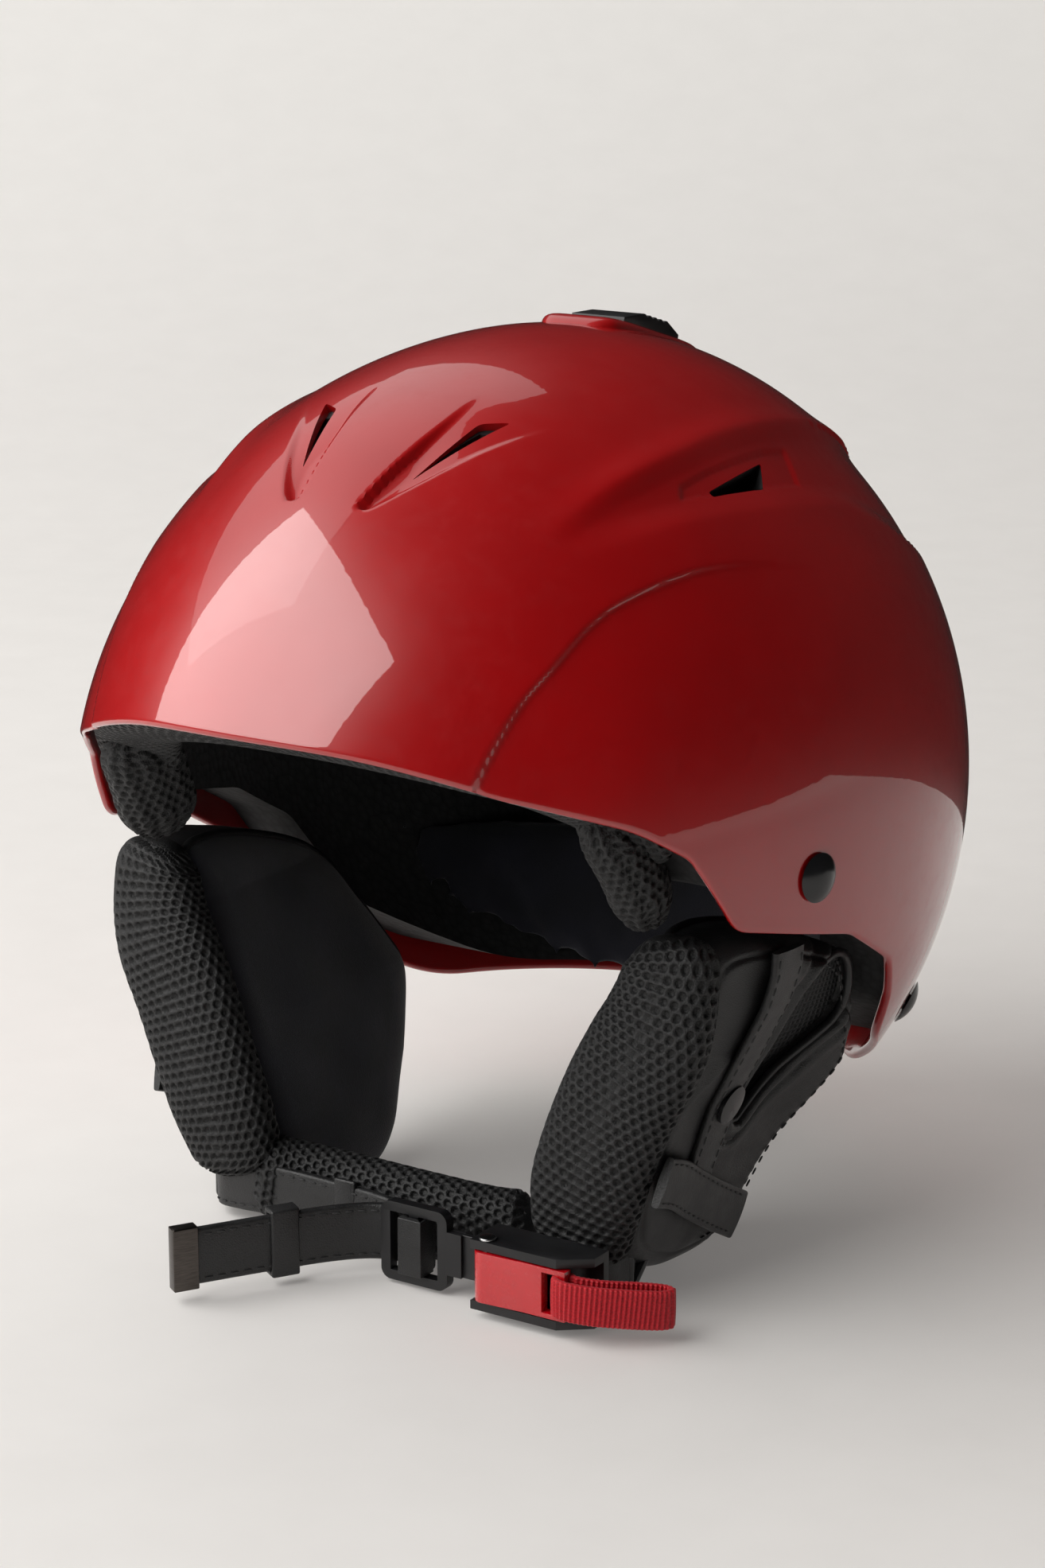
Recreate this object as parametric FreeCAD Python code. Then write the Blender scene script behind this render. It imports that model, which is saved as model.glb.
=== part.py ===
"""Ski helmet: hard shell, foam liner, vent slider, hinged ear pads, buckled chin strap and goggle-strap clip.

Millimetres. The wearer faces -Y, the wearer's left is +X and +Z is up. The origin lies on the resting
surface, straight below the middle of the shell's width.
"""
import FreeCAD
import Part
import math
import os
from FreeCAD import Matrix, Vector

os.makedirs("parts", exist_ok=True)

# ---------------------------------------------------------------- shell
SHELL_HALF_WIDTH = 113.0
SHELL_HALF_HEIGHT = 124.0
SHELL_FRONT_LENGTH = 152.0
SHELL_REAR_LENGTH = 127.0
SHELL_CENTRE_Y = 12.0
SHELL_CENTRE_Z = 119.5
SHELL_WALL = 2.6
FOAM_THICKNESS = 21.0
LINER_THICKNESS = 5.0
BROW_PAD_DEPTH = 32.0
TEMPLE_PAD_THICKNESS = 12.0

# The rim seen from the side, as (y, z): brim, temple corner, ear arch and nape
BRIM = [(-129, 162), (-107, 150), (-83, 140), (-70, 131)]
TEMPLE = (-57, 110)
EAR_ARCH = [(-14, 100), (10, 86.5), (19, 73), (25, 59)]
NAPE = [(60, 36), (100, 35)]
RIM_RADII = [40, 40, 40, 8, 9, 18, 14, 14, 20, 30, 0]
FOAM_LIFT = 9.0
PAD_LIFT = 1.0
CLEAR = 0.4
# A distance from the origin that clears the whole helmet
BEYOND = 190.0

# ---------------------------------------------------------------- vents, top slider
FRONT_VENT = [(17, -77), (29, -50), (21.5, -52)]
FRONT_VENT_Z = 222.0
FRONT_VENT_NORMAL = (0.18, -0.45, 0.87)
SIDE_VENT = [(71, -20.7, 212.2), (72.4, -21.7, 210.7), (76.4, -2, 210.1), (71.2, 5.5, 215.7)]
SIDE_VENT_NORMAL = (0.677, -0.099, 0.73)
REAR_VENT = [(54, 74, 202), (64, 88, 186), (51, 92, 190)]
REAR_VENT_NORMAL = (0.4, 0.6, 0.69)
VENT_REACH = 40.0
RAIL_LENGTH = 56.0
RAIL_WIDTH = 24.0
RAIL_DEPTH = 16.0
RAIL_MIDDLE = (52.0, 237.9)
RAIL_SLOPE = 16.0
KNOB_LENGTH = 30.0
KNOB_WIDTH = 17.0
KNOB_HEIGHT = 4.2
KNOB_LIP = 1.6
KNOB_GROOVE = 1.1
SLIDER_TRAVEL = 10.0
STEM_WIDTH = 5.0
STEM_LENGTH = 8.0
SHUTTER_LENGTH = 36.0
SHUTTER_WIDTH = 28.0
SHUTTER_THICKNESS = 1.5
SHUTTER_DROP = 14.0

# ---------------------------------------------------------------- rivets and goggle clip
RIVET_HEAD_RADIUS = 6.5
RIVET_HEAD_HEIGHT = 2.4
RIVET_SHANK_RADIUS = 2.4
WASHER_RADIUS = 7.0
WASHER_THICKNESS = 1.5
FRONT_RIVET = (-31.0, 118.0)
REAR_RIVET = (57.0, 57.5)
CLIP_WIDTH = 26.0
CLIP_THICKNESS = 3.0
CLIP_LENGTH = 44.0
CLIP_HINGE_Z = 96.0
CLIP_STANDOFF = 7.0
CLIP_PIN_RADIUS = 1.5
CLIP_KNUCKLE_RADIUS = 3.2
SNAP_RADIUS = 6.0
RUNNING_FIT = 0.06

# ---------------------------------------------------------------- ear pads
PAD_FACE = [(101, 112), (99.5, 88), (83, 55), (75, 31), (67, -4)]
PAD_THICKNESS = 28.0
LINING_THICKNESS = 5.0
PAD_BEND_RADIUS = 40.0
PAD_GAP = 2.0
PAD_FRONT = [(-36, 42), (-47, 78), (-50, 104)]
PAD_BOTTOM = [(35, 48), (39, 24), (34, 0), (-31, 0)]
BOLSTER_FRONT = [(-62, 107), (-64, 78), (-66, 48), (-66, 31)]
BOLSTER_SET_BACK = 2.0
GRILLE = [(-2, 88), (-19, 44)]
GRILLE_TOP_RADIUS = 13.0
GRILLE_TIP_RADIUS = 4.0
RING_WALL = 3.0
GRILLE_DEPTH = 6.0
BAND_WIDTH = 15.0
BAND_THICKNESS = 2.0
BAND_LINE = [(-31, 98), (-35, 22)]
KEEPER_HEIGHT = 14.0
KEEPER_LENGTH = 40.0
KEEPER_DROP = 4.0
KEEPER_Z = 31.0
STRAP_SNAP_RADIUS = 5.5
SNAP_SPOT = (-33.0, 54.0)

# ---------------------------------------------------------------- chin strap
RING_X = 66.0
RING_EYE_Z = 18.0
RING_WIRE = 2.0
RING_FRONT_Y = -52.0
RING_BACK_Y = -36.0
RING_FOOT_Z = 4.0
EYE_RADIUS = 3.8
EYE_LENGTH = 4.5
STRAP_WIDTH = 19.0
STRAP_THICKNESS = 2.4
STRAP_FOOT = 2.5
CHIN_PAD_START = -38.0
CHIN_PAD_END = 44.0
CHIN_PAD_THICKNESS = 15.0
CHIN_PAD_HEIGHT = 23.0
CHIN_PAD_Y = -51.0
CHIN_STRAP_END = -6.0
COMB_Y = -71.0
COMB_THICKNESS = 1.6
COMB_TOOTH = 1.0
COMB_PITCH = 2.5
COMB_HEIGHT = 12.0
COMB_START = 24.0
COMB_END = 57.0
LOCK_CENTRE = 13.0
LOCK_WIDTH = 21.0
LOCK_HEIGHT = 22.0
LOCK_BAR = 3.0
LOCK_THICKNESS = 3.2
WRAP_THICKNESS = 1.9
TAIL_END = (-34.0, -114.0)
CAP_LENGTH = 7.0

# ---------------------------------------------------------------- buckle
BUCKLE_START = 36.0
BUCKLE_END = 70.0
BUCKLE_WALL = 2.4
BUCKLE_DEPTH = 13.0
SLOT_CLEAR = 1.2
LEVER_PIN_X = 40.0
LEVER_PIN_Y = -78.0
LEVER_PIN_RADIUS = 1.3
LEVER_BARREL_RADIUS = 3.4
LEVER_LENGTH = 25.0
LEVER_THICKNESS = 3.0
SPRING_WIRE = 0.4
TAB_LENGTH = 24.0
TAB_WIDTH = 13.0
TAB_WEB = 1.8

# ---------------------------------------------------------------- places that follow from the sizes
STRAP_MIDDLE = STRAP_FOOT + STRAP_WIDTH / 2
BASE_BACK_Y = COMB_Y + COMB_THICKNESS / 2 + 0.5 + BUCKLE_WALL
BASE_FRONT_Y = BASE_BACK_Y - BUCKLE_DEPTH
CHANNEL_LOW = STRAP_MIDDLE - COMB_HEIGHT / 2 - SLOT_CLEAR
CHANNEL_HIGH = STRAP_MIDDLE + COMB_HEIGHT / 2 + SLOT_CLEAR
LEVER_LOW = CHANNEL_LOW + CLEAR
LEVER_HIGH = CHANNEL_HIGH - CLEAR
LEVER_FACE_Y = LEVER_PIN_Y - LEVER_BARREL_RADIUS + 0.8
TAB_AT = LEVER_PIN_X + LEVER_LENGTH
TAIL_LOW = STRAP_MIDDLE - STRAP_WIDTH / 2 + 1.6
TAIL_HIGH = STRAP_MIDDLE + STRAP_WIDTH / 2 - 1.6
TAIL_Y = COMB_Y + 3.6
TAIL_PATH = [(LOCK_CENTRE + 2.5, TAIL_Y), (LOCK_CENTRE - 14, TAIL_Y), (-12, COMB_Y - 7), TAIL_END]
CLIP_Y = SHELL_CENTRE_Y + SHELL_REAR_LENGTH + CLIP_STANDOFF
SNAP_Z = CLIP_HINGE_Z + CLIP_LENGTH - SNAP_RADIUS - 2


# ================================================================ helpers
def save(name, shape):
    """Writes one named node, and says how many solids it holds."""
    shape.exportStep("parts/" + name + ".step")
    print(name, len(shape.Solids), round(shape.Volume), shape.isValid())


def group(shapes):
    """Identical pieces that share a node, left as separate solids."""
    return Part.makeCompound(shapes)


def mirrored(shape):
    """The same piece on the wearer's other side."""
    return shape.mirror(Vector(0, 0, 0), Vector(1, 0, 0))


def sided(shape, side):
    """A piece modelled on the left (+X), for side +1, or its mirror image for side -1."""
    return shape if side > 0 else mirrored(shape)


def place(plane, at, p, q):
    """A point of an outline drawn on plane "yz", "xz" or "xy", whose third coordinate is at."""
    if plane == "yz":
        return Vector(at, p, q)
    if plane == "xz":
        return Vector(p, at, q)
    return Vector(p, q, at)


def rounded_edges(points, radii, closed=True):
    """Straight edges between the points, joined by tangent arcs of the given corner radii."""
    edges = []
    count = len(points)
    corners = range(count) if closed else range(1, count - 1)
    joins = {}
    for i in corners:
        corner = points[i]
        back = (points[i - 1] - corner).normalize()
        ahead = (points[(i + 1) % count] - corner).normalize()
        half = back.getAngle(ahead) / 2
        if radii[i] <= 0 or half > math.radians(89.5):
            continue
        reach = radii[i] / math.tan(half)
        middle = (back + ahead).normalize()
        centre = corner + middle * (radii[i] / math.sin(half))
        joins[i] = (corner + back * reach, centre - middle * radii[i], corner + ahead * reach)
    last = count if closed else count - 1
    for i in range(last):
        j = (i + 1) % count
        start = joins[i][2] if i in joins else points[i]
        end = joins[j][0] if j in joins else points[j]
        if start.distanceToPoint(end) > 1e-6:
            edges.append(Part.makeLine(start, end))
        if j in joins:
            edges.append(Part.Arc(*joins[j]).toShape())
    return edges


def outline_face(points, radii, plane, at):
    """A flat face inside a closed outline with rounded corners; radii is one number or one per point."""
    if not isinstance(radii, (list, tuple)):
        radii = [radii] * len(points)
    corners = [place(plane, at, p, q) for p, q in points]
    return Part.Face(Part.Wire(Part.__sortEdges__(rounded_edges(corners, radii))))


def slab(points, radii, plane, low, high):
    """An outline extruded square to its plane, from low to high."""
    along = place(plane, high - low, 0, 0)
    return outline_face(points, radii, plane, low).extrude(along)


def block(low, high):
    """A box between two opposite corners."""
    size = Vector(*high) - Vector(*low)
    return Part.makeBox(size.x, size.y, size.z, Vector(*low))


def rod(start, end, radius):
    """A cylinder from one point to another."""
    line = Vector(*end) - Vector(*start)
    return Part.makeCylinder(radius, line.Length, Vector(*start), line)


def dome(centre, normal, radius, height):
    """A low round cap, such as a rivet head, whose flat side is centred on the point."""
    ball_radius = (radius ** 2 + height ** 2) / (2 * height)
    ball = Part.makeSphere(ball_radius, Vector(*centre) - Vector(*normal) * (ball_radius - height))
    return ball.common(Part.makeCylinder(radius + 1, height + 1, Vector(*centre), Vector(*normal)))


def band(path, radii, thickness, low, high):
    """A flat strap that stands on edge: it follows a path seen from above, from height low to high."""
    points = [Vector(x, y, low) for x, y in path]
    left = []
    right = []
    for i, point in enumerate(points):
        before = (point - points[i - 1]).normalize() if i else None
        after = (points[i + 1] - point).normalize() if i + 1 < len(points) else None
        before = before or after
        after = after or before
        along = (before + after).normalize()
        side = Vector(-along.y, along.x, 0)
        reach = thickness / 2 / max(side.dot(Vector(-before.y, before.x, 0)), 0.2)
        left.append(point + side * reach)
        right.append(point - side * reach)
    bends = [0.0] + list(radii) + [0.0]
    corners = left + right[::-1]
    corner_radii = bends + bends[::-1]
    wire = Part.Wire(Part.__sortEdges__(rounded_edges(corners, corner_radii)))
    return Part.Face(wire).extrude(Vector(0, 0, high - low))


# ================================================================ shell geometry
def ellipsoid(inset, half_height=SHELL_HALF_HEIGHT):
    """The shell's egg: two half ellipsoids that share their middle section, shrunk by inset."""
    halves = []
    for length, keep in ((SHELL_FRONT_LENGTH, -1), (SHELL_REAR_LENGTH, 1)):
        low = (-2, min(0, 2 * keep), -2)
        high = (2, max(0, 2 * keep), 2)
        half_ball = Part.makeSphere(1.0).common(block(low, high))
        stretch = Matrix()
        stretch.scale(SHELL_HALF_WIDTH - inset, length - inset, half_height - inset)
        half = half_ball.transformGeometry(stretch)
        half.translate(Vector(0, SHELL_CENTRE_Y, SHELL_CENTRE_Z))
        halves.append(half)
    return halves[0].fuse(halves[1])


def shell_half_width(y, z, inset=0.0):
    """Distance from the middle plane to the egg's side at a place in the side view."""
    length = SHELL_FRONT_LENGTH if y < SHELL_CENTRE_Y else SHELL_REAR_LENGTH
    along = (y - SHELL_CENTRE_Y) / (length - inset)
    up = (z - SHELL_CENTRE_Z) / (SHELL_HALF_HEIGHT - inset)
    return (SHELL_HALF_WIDTH - inset) * math.sqrt(1 - along ** 2 - up ** 2)


def shell_normal(x, y, z):
    """Outward direction of the egg's surface at a point on it."""
    length = SHELL_FRONT_LENGTH if y < SHELL_CENTRE_Y else SHELL_REAR_LENGTH
    slope = Vector(
        x / SHELL_HALF_WIDTH ** 2,
        (y - SHELL_CENTRE_Y) / length ** 2,
        (z - SHELL_CENTRE_Z) / SHELL_HALF_HEIGHT ** 2,
    )
    return slope.normalize()


def above_rim(lift):
    """Everything above the rim line, raised by lift."""
    rim = BRIM + [TEMPLE] + EAR_ARCH + NAPE
    front = (-BEYOND, BRIM[0][1] + 6 + lift)
    rear = (BEYOND, NAPE[-1][1] + lift)
    points = [front] + [(y, z + lift) for y, z in rim] + [rear, (BEYOND, 2 * BEYOND), (-BEYOND, 2 * BEYOND)]
    radii = [0] + RIM_RADII + [0, 0, 0]
    return slab(points, radii, "yz", -BEYOND, BEYOND)


def vent_cutters():
    """Slanting wedge holes through shell, foam and crown liner: front, side and rear pairs."""
    cutters = []
    front = [(x, y, FRONT_VENT_Z) for x, y in FRONT_VENT]
    wedges = [(front, FRONT_VENT_NORMAL), (SIDE_VENT, SIDE_VENT_NORMAL), (REAR_VENT, REAR_VENT_NORMAL)]
    for corners, way in wedges:
        points = [Vector(*corner) for corner in corners]
        normal = Vector(*way).normalize()
        level = points[0].dot(normal) - VENT_REACH
        start = [point - normal * (point.dot(normal) - level) for point in points]
        face = Part.Face(Part.makePolygon(start + start[:1]))
        cutter = face.extrude(normal * (VENT_REACH * 1.5))
        cutters += [cutter, mirrored(cutter)]
    return cutters


def on_rail(shape):
    """Moves a piece drawn on a level rail at the origin to the sloping rail on the crown."""
    moved = shape.copy()
    moved.rotate(Vector(0, 0, 0), Vector(1, 0, 0), -RAIL_SLOPE)
    moved.translate(Vector(0, *RAIL_MIDDLE))
    return moved


def rivet_seats():
    """Point on the outer surface and outward normal of each strap rivet, left side first."""
    seats = {}
    for name, (y, z) in (("front", FRONT_RIVET), ("rear", REAR_RIVET)):
        x = shell_half_width(y, z)
        normal = shell_normal(x, y, z)
        seats[name] = (Vector(x, y, z), normal)
    return seats


EGG = ellipsoid(0)
EGG_INSIDE_SHELL = ellipsoid(SHELL_WALL)
FOAM_INSIDE = SHELL_WALL + FOAM_THICKNESS
EGG_INSIDE_FOAM = ellipsoid(FOAM_INSIDE)
VENTS = vent_cutters()
SEATS = rivet_seats()


def build_rail():
    """Raised boss moulded on the crown, on which the vent slider runs."""
    half_length = RAIL_LENGTH / 2
    top = [(-half_length, -2), (-half_length + 4, 0), (half_length - 8, 0), (half_length, -8)]
    foot = [(half_length, -RAIL_DEPTH), (-half_length, -RAIL_DEPTH)]
    body = slab(top + foot, 0, "yz", -RAIL_WIDTH / 2, RAIL_WIDTH / 2)
    return on_rail(body)


def rail_slot(margin):
    """Slot through rail and shell for the slider's stem, over its whole travel."""
    half = STEM_WIDTH / 2 + margin
    front = -STEM_LENGTH / 2 - margin
    rear = STEM_LENGTH / 2 + SLIDER_TRAVEL + margin
    return on_rail(block((-half, front, -SHUTTER_DROP - 1), (half, rear, 2)))


def build_outer_shell():
    """Hard shell with its vents, rivet holes, slider boss and slot."""
    shell = EGG.cut(EGG_INSIDE_SHELL).common(above_rim(0))
    for cutter in VENTS:
        shell = shell.cut(cutter)
    shell = shell.fuse(build_rail().cut(EGG_INSIDE_SHELL))
    shell = shell.cut(rail_slot(CLEAR))
    for seat, normal in SEATS.values():
        hole = Part.makeCylinder(RIVET_SHANK_RADIUS + RUNNING_FIT, 20, seat - normal * 10, normal)
        shell = shell.cut(hole).cut(mirrored(hole))
    return shell


def build_foam_liner():
    """Impact foam inside the shell, with vent channels, rivet pockets and the shutter's pocket."""
    foam = EGG_INSIDE_SHELL.cut(EGG_INSIDE_FOAM).common(above_rim(FOAM_LIFT))
    for cutter in VENTS:
        foam = foam.cut(cutter)
    half = SHUTTER_WIDTH / 2 + 1.5
    front = -SHUTTER_LENGTH / 2 - 3
    rear = SHUTTER_LENGTH / 2 + SLIDER_TRAVEL + 3
    foam = foam.cut(on_rail(block((-half, front, -SHUTTER_DROP - SHUTTER_THICKNESS - 1.5), (half, rear, 4))))
    for seat, normal in SEATS.values():
        depth = SHELL_WALL + 8
        pocket = Part.makeCylinder(WASHER_RADIUS + 1, depth, seat - normal * depth, normal)
        foam = foam.cut(pocket).cut(mirrored(pocket))
    return foam


def build_crown_liner():
    """Thin fabric-covered comfort liner under the crown."""
    inside = ellipsoid(FOAM_INSIDE + LINER_THICKNESS)
    liner = EGG_INSIDE_FOAM.cut(inside).common(block((-160, -200, 165), (160, 200, 300)))
    return liner


def build_brow_pad():
    """Soft roll under the brim that covers the foam's lower edge from temple to temple."""
    outside = ellipsoid(SHELL_WALL + CLEAR)
    inside = ellipsoid(SHELL_WALL + BROW_PAD_DEPTH)
    roll = outside.cut(inside).common(above_rim(PAD_LIFT)).cut(above_rim(FOAM_LIFT - CLEAR))
    return roll.common(block((-160, -200, 100), (160, TEMPLE[0] - 2, 300)))


def build_temple_pad():
    """Gathered end of the brow padding, beside the temple."""
    inside = ellipsoid(FOAM_INSIDE + TEMPLE_PAD_THICKNESS)
    ring = EGG_INSIDE_FOAM.cut(inside).common(above_rim(FOAM_LIFT + 1))
    front = BRIM[2][0]
    points = [(front, 116), (TEMPLE[0] + 10, 116), (TEMPLE[0] + 10, 148), (front, 156)]
    return ring.common(slab(points, 6, "yz", 20, 140))


def neck_cone(shrink):
    """Elliptical cone, narrower at the nape than at the foam, that shapes the neck pad."""
    cone = Part.makeCone(70 - shrink, 97 - shrink, 75)
    squeeze = Matrix()
    squeeze.scale(1.0, 0.88, 1.0)
    cone = cone.transformGeometry(squeeze)
    cone.translate(Vector(0, SHELL_CENTRE_Y, 15))
    return cone


def build_neck_pad():
    """Padded flap at the nape, whose lower edge dips in the middle."""
    flap = neck_cone(0).cut(neck_cone(9)).common(ellipsoid(FOAM_INSIDE + CLEAR))
    front_view = [(-76, 34), (-34, 20), (34, 20), (76, 34), (90, 84), (-90, 84)]
    flap = flap.common(slab(front_view, [8, 20, 20, 8, 4, 4], "xz", 44, 140))
    return flap.cut(block((-100, 0, 0), (100, 50, 100)))


def build_rivets(name):
    """Domed strap rivets of one pair, heads outside and shanks through the shell."""
    seat, normal = SEATS[name]
    head = dome(seat + normal * 0.6, normal, RIVET_HEAD_RADIUS, RIVET_HEAD_HEIGHT)
    shank_length = SHELL_WALL + WASHER_THICKNESS + 2
    foot = seat + normal * (0.8 - shank_length)
    shank = Part.makeCylinder(RIVET_SHANK_RADIUS, shank_length, foot, normal)
    rivet = head.fuse(shank)
    return group([rivet, mirrored(rivet)])


def build_washers():
    """Backing washers that spread the strap rivets' load inside the shell."""
    washers = []
    for seat, normal in SEATS.values():
        base = seat - normal * (SHELL_WALL + WASHER_THICKNESS + 0.35)
        disc = Part.makeCylinder(WASHER_RADIUS, WASHER_THICKNESS, base, normal)
        disc = disc.cut(Part.makeCylinder(RIVET_SHANK_RADIUS + RUNNING_FIT, 4, base - normal, normal))
        washers += [disc, mirrored(disc)]
    return group(washers)


def build_slider_knob():
    """Faceted thumb slider with its stem, which reaches down through the slot."""
    half = KNOB_LENGTH / 2
    front = [(-half, CLEAR), (-half, KNOB_LIP), (-half + 10, KNOB_HEIGHT)]
    rear = [(half - 7, KNOB_HEIGHT), (half, KNOB_LIP), (half, CLEAR)]
    knob = slab(front + rear, 0, "yz", -KNOB_WIDTH / 2, KNOB_WIDTH / 2)
    groove_z = KNOB_HEIGHT + 0.5
    for y in (-3, 0, 3, 6):
        knob = knob.cut(rod((-KNOB_WIDTH, y, groove_z), (KNOB_WIDTH, y, groove_z), KNOB_GROOVE))
    stem_foot = -SHUTTER_DROP
    stem = block((-STEM_WIDTH / 2, -STEM_LENGTH / 2, stem_foot), (STEM_WIDTH / 2, STEM_LENGTH / 2, CLEAR))
    return on_rail(knob.fuse(stem))


def build_shutter_plate():
    """Plate under the shell that the slider carries over the crown's air channel."""
    foot = -SHUTTER_DROP - SHUTTER_THICKNESS
    low = (-SHUTTER_WIDTH / 2, -SHUTTER_LENGTH / 2, foot)
    return on_rail(block(low, (SHUTTER_WIDTH / 2, SHUTTER_LENGTH / 2, -SHUTTER_DROP)))


# ================================================================ goggle clip
def build_clip_base():
    """Block on the back of the shell with two ears for the clip's pin."""
    half = CLIP_WIDTH / 2
    foot_top = CLIP_HINGE_Z - CLIP_KNUCKLE_RADIUS - 0.6
    foot = block((-half, CLIP_Y - 16, CLIP_HINGE_Z - 12), (half, CLIP_Y - 1, foot_top))
    ears = []
    for x in (-half, half - 6):
        ear = block((x, CLIP_Y - 7, CLIP_HINGE_Z - 7), (x + 6, CLIP_Y, CLIP_HINGE_Z))
        knuckle = rod((x, CLIP_Y, CLIP_HINGE_Z), (x + 6, CLIP_Y, CLIP_HINGE_Z), CLIP_KNUCKLE_RADIUS)
        ears.append(ear.fuse(knuckle))
    base = foot.fuse(ears[0]).fuse(ears[1]).cut(EGG)
    hole = rod((-half - 1, CLIP_Y, CLIP_HINGE_Z), (half + 1, CLIP_Y, CLIP_HINGE_Z), CLIP_PIN_RADIUS)
    return base.cut(hole).removeSplitter()


def build_clip_pin():
    """Hinge pin, fixed in the base's ears."""
    half = CLIP_WIDTH / 2
    return rod((-half, CLIP_Y, CLIP_HINGE_Z), (half, CLIP_Y, CLIP_HINGE_Z), CLIP_PIN_RADIUS)


def build_clip_flap():
    """Strap flap that swings down from the snap to free the goggle strap."""
    half = CLIP_WIDTH / 2
    knuckle = half - 6 - CLEAR
    barrel = rod((-knuckle, CLIP_Y, CLIP_HINGE_Z), (knuckle, CLIP_Y, CLIP_HINGE_Z), CLIP_KNUCKLE_RADIUS)
    inner = CLIP_Y - CLIP_THICKNESS / 2
    outer = CLIP_Y + CLIP_THICKNESS / 2
    neck = block((-knuckle, inner, CLIP_HINGE_Z), (knuckle, outer, CLIP_HINGE_Z + 8))
    low = CLIP_HINGE_Z + CLIP_KNUCKLE_RADIUS + 1
    high = CLIP_HINGE_Z + CLIP_LENGTH
    front_view = [(-half, low), (half, low), (half, high), (-half, high)]
    leaf = slab(front_view, [2, 2, 10, 10], "xz", inner, outer)
    flap = barrel.fuse(neck).fuse(leaf)
    hole = rod((-half, CLIP_Y, CLIP_HINGE_Z), (half, CLIP_Y, CLIP_HINGE_Z), CLIP_PIN_RADIUS + RUNNING_FIT)
    flap = flap.cut(hole)
    return flap.cut(rod((0, CLIP_Y - 9, SNAP_Z), (0, CLIP_Y + 9, SNAP_Z), RIVET_SHANK_RADIUS))


def build_clip_snap():
    """Snap cap on the flap, set in the flap's hole, with its socket towards the shell."""
    face = CLIP_Y + CLIP_THICKNESS / 2
    cap = dome((0, face, SNAP_Z), (0, 1, 0), SNAP_RADIUS, 1.8)
    post = rod((0, CLIP_Y - CLIP_THICKNESS / 2, SNAP_Z), (0, face, SNAP_Z), RIVET_SHANK_RADIUS)
    return cap.fuse(post)


def build_snap_stud():
    """Stud on the shell that the snap closes on."""
    face = CLIP_Y - CLIP_THICKNESS / 2 - CLEAR
    stud = rod((0, SHELL_CENTRE_Y + SHELL_REAR_LENGTH - 6, SNAP_Z), (0, face, SNAP_Z), SNAP_RADIUS - 2.5)
    return stud.cut(EGG)


# ================================================================ ear pads (modelled on the left)
def leaning_slab(outline, radii, depth, thickness):
    """A side-view outline given thickness along the pad's leaning face, from depth below that face."""
    outer = [(x - depth, z) for x, z in PAD_FACE]
    inner = [(x - depth - thickness, z) for x, z in PAD_FACE[::-1]]
    bends = [0] + [PAD_BEND_RADIUS] * (len(PAD_FACE) - 2) + [0]
    profile = slab(outer + inner, bends + bends, "xz", -100, 80)
    return profile.common(slab(outline, radii, "yz", 10, 140))


def pad_outline():
    """Side view of the ear pad: its rear top follows the shell's ear arch a gap away."""
    top = [(y - PAD_GAP, z - PAD_GAP) for y, z in EAR_ARCH]
    points = PAD_FRONT + top + PAD_BOTTOM
    radii = [10, 20, 6] + [18, 14, 14, 6] + [10, 18, 3, 8]
    return points, radii


# Space inside the rim that an ear pad may fill: an egg so tall that its sides are upright
ROOM = ellipsoid(SHELL_WALL + PAD_GAP + 0.5, 3 * SHELL_HALF_HEIGHT)
BOLSTER_ROOM = ellipsoid(SHELL_WALL + PAD_GAP + BOLSTER_SET_BACK, 3 * SHELL_HALF_HEIGHT)


def grille_outline(grow):
    """Teardrop opening in the pad's outer face, from the side: two circles and their common tangents."""
    (top_y, top_z), (tip_y, tip_z) = GRILLE
    big = GRILLE_TOP_RADIUS + grow
    small = GRILLE_TIP_RADIUS + grow
    top = Vector(0, top_y, top_z - GRILLE_TOP_RADIUS)
    tip = Vector(0, tip_y, tip_z + GRILLE_TIP_RADIUS)
    line = tip - top
    turn = math.acos((big - small) / line.Length)
    base = math.atan2(line.z, line.y)
    ends = []
    for angle in (base + turn, base - turn):
        side = Vector(0, math.cos(angle), math.sin(angle))
        ends.append((top + side * big, tip + side * small))
    way = line.normalize()
    far_top = top - way * big
    far_tip = tip + way * small
    edges = [
        Part.makeLine(ends[0][0], ends[0][1]),
        Part.Arc(ends[0][1], far_tip, ends[1][1]).toShape(),
        Part.makeLine(ends[1][1], ends[1][0]),
        Part.Arc(ends[1][0], far_top, ends[0][0]).toShape(),
    ]
    return Part.Face(Part.Wire(edges))


def grille_prism(grow):
    """The teardrop carried right through the pad's side."""
    face = grille_outline(grow)
    face.translate(Vector(10, 0, 0))
    return face.extrude(Vector(130, 0, 0))


def face_layer(depth, thickness):
    """A layer that follows the pad's leaning face, as long as the whole pad."""
    return leaning_slab([(-90, -3), (70, -3), (70, 111), (-90, 111)], 0, depth, thickness)


def build_ear_cushion():
    """Leather-covered pad with the recess for its grille."""
    points, radii = pad_outline()
    cushion = leaning_slab(points, radii, 0, PAD_THICKNESS - LINING_THICKNESS).common(ROOM)
    recess = grille_prism(RING_WALL).common(face_layer(0, GRILLE_DEPTH))
    return cushion.cut(recess)


def build_ear_lining():
    """Soft inner face of the ear pad."""
    points, radii = pad_outline()
    return leaning_slab(points, radii, PAD_THICKNESS - LINING_THICKNESS, LINING_THICKNESS)


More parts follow.
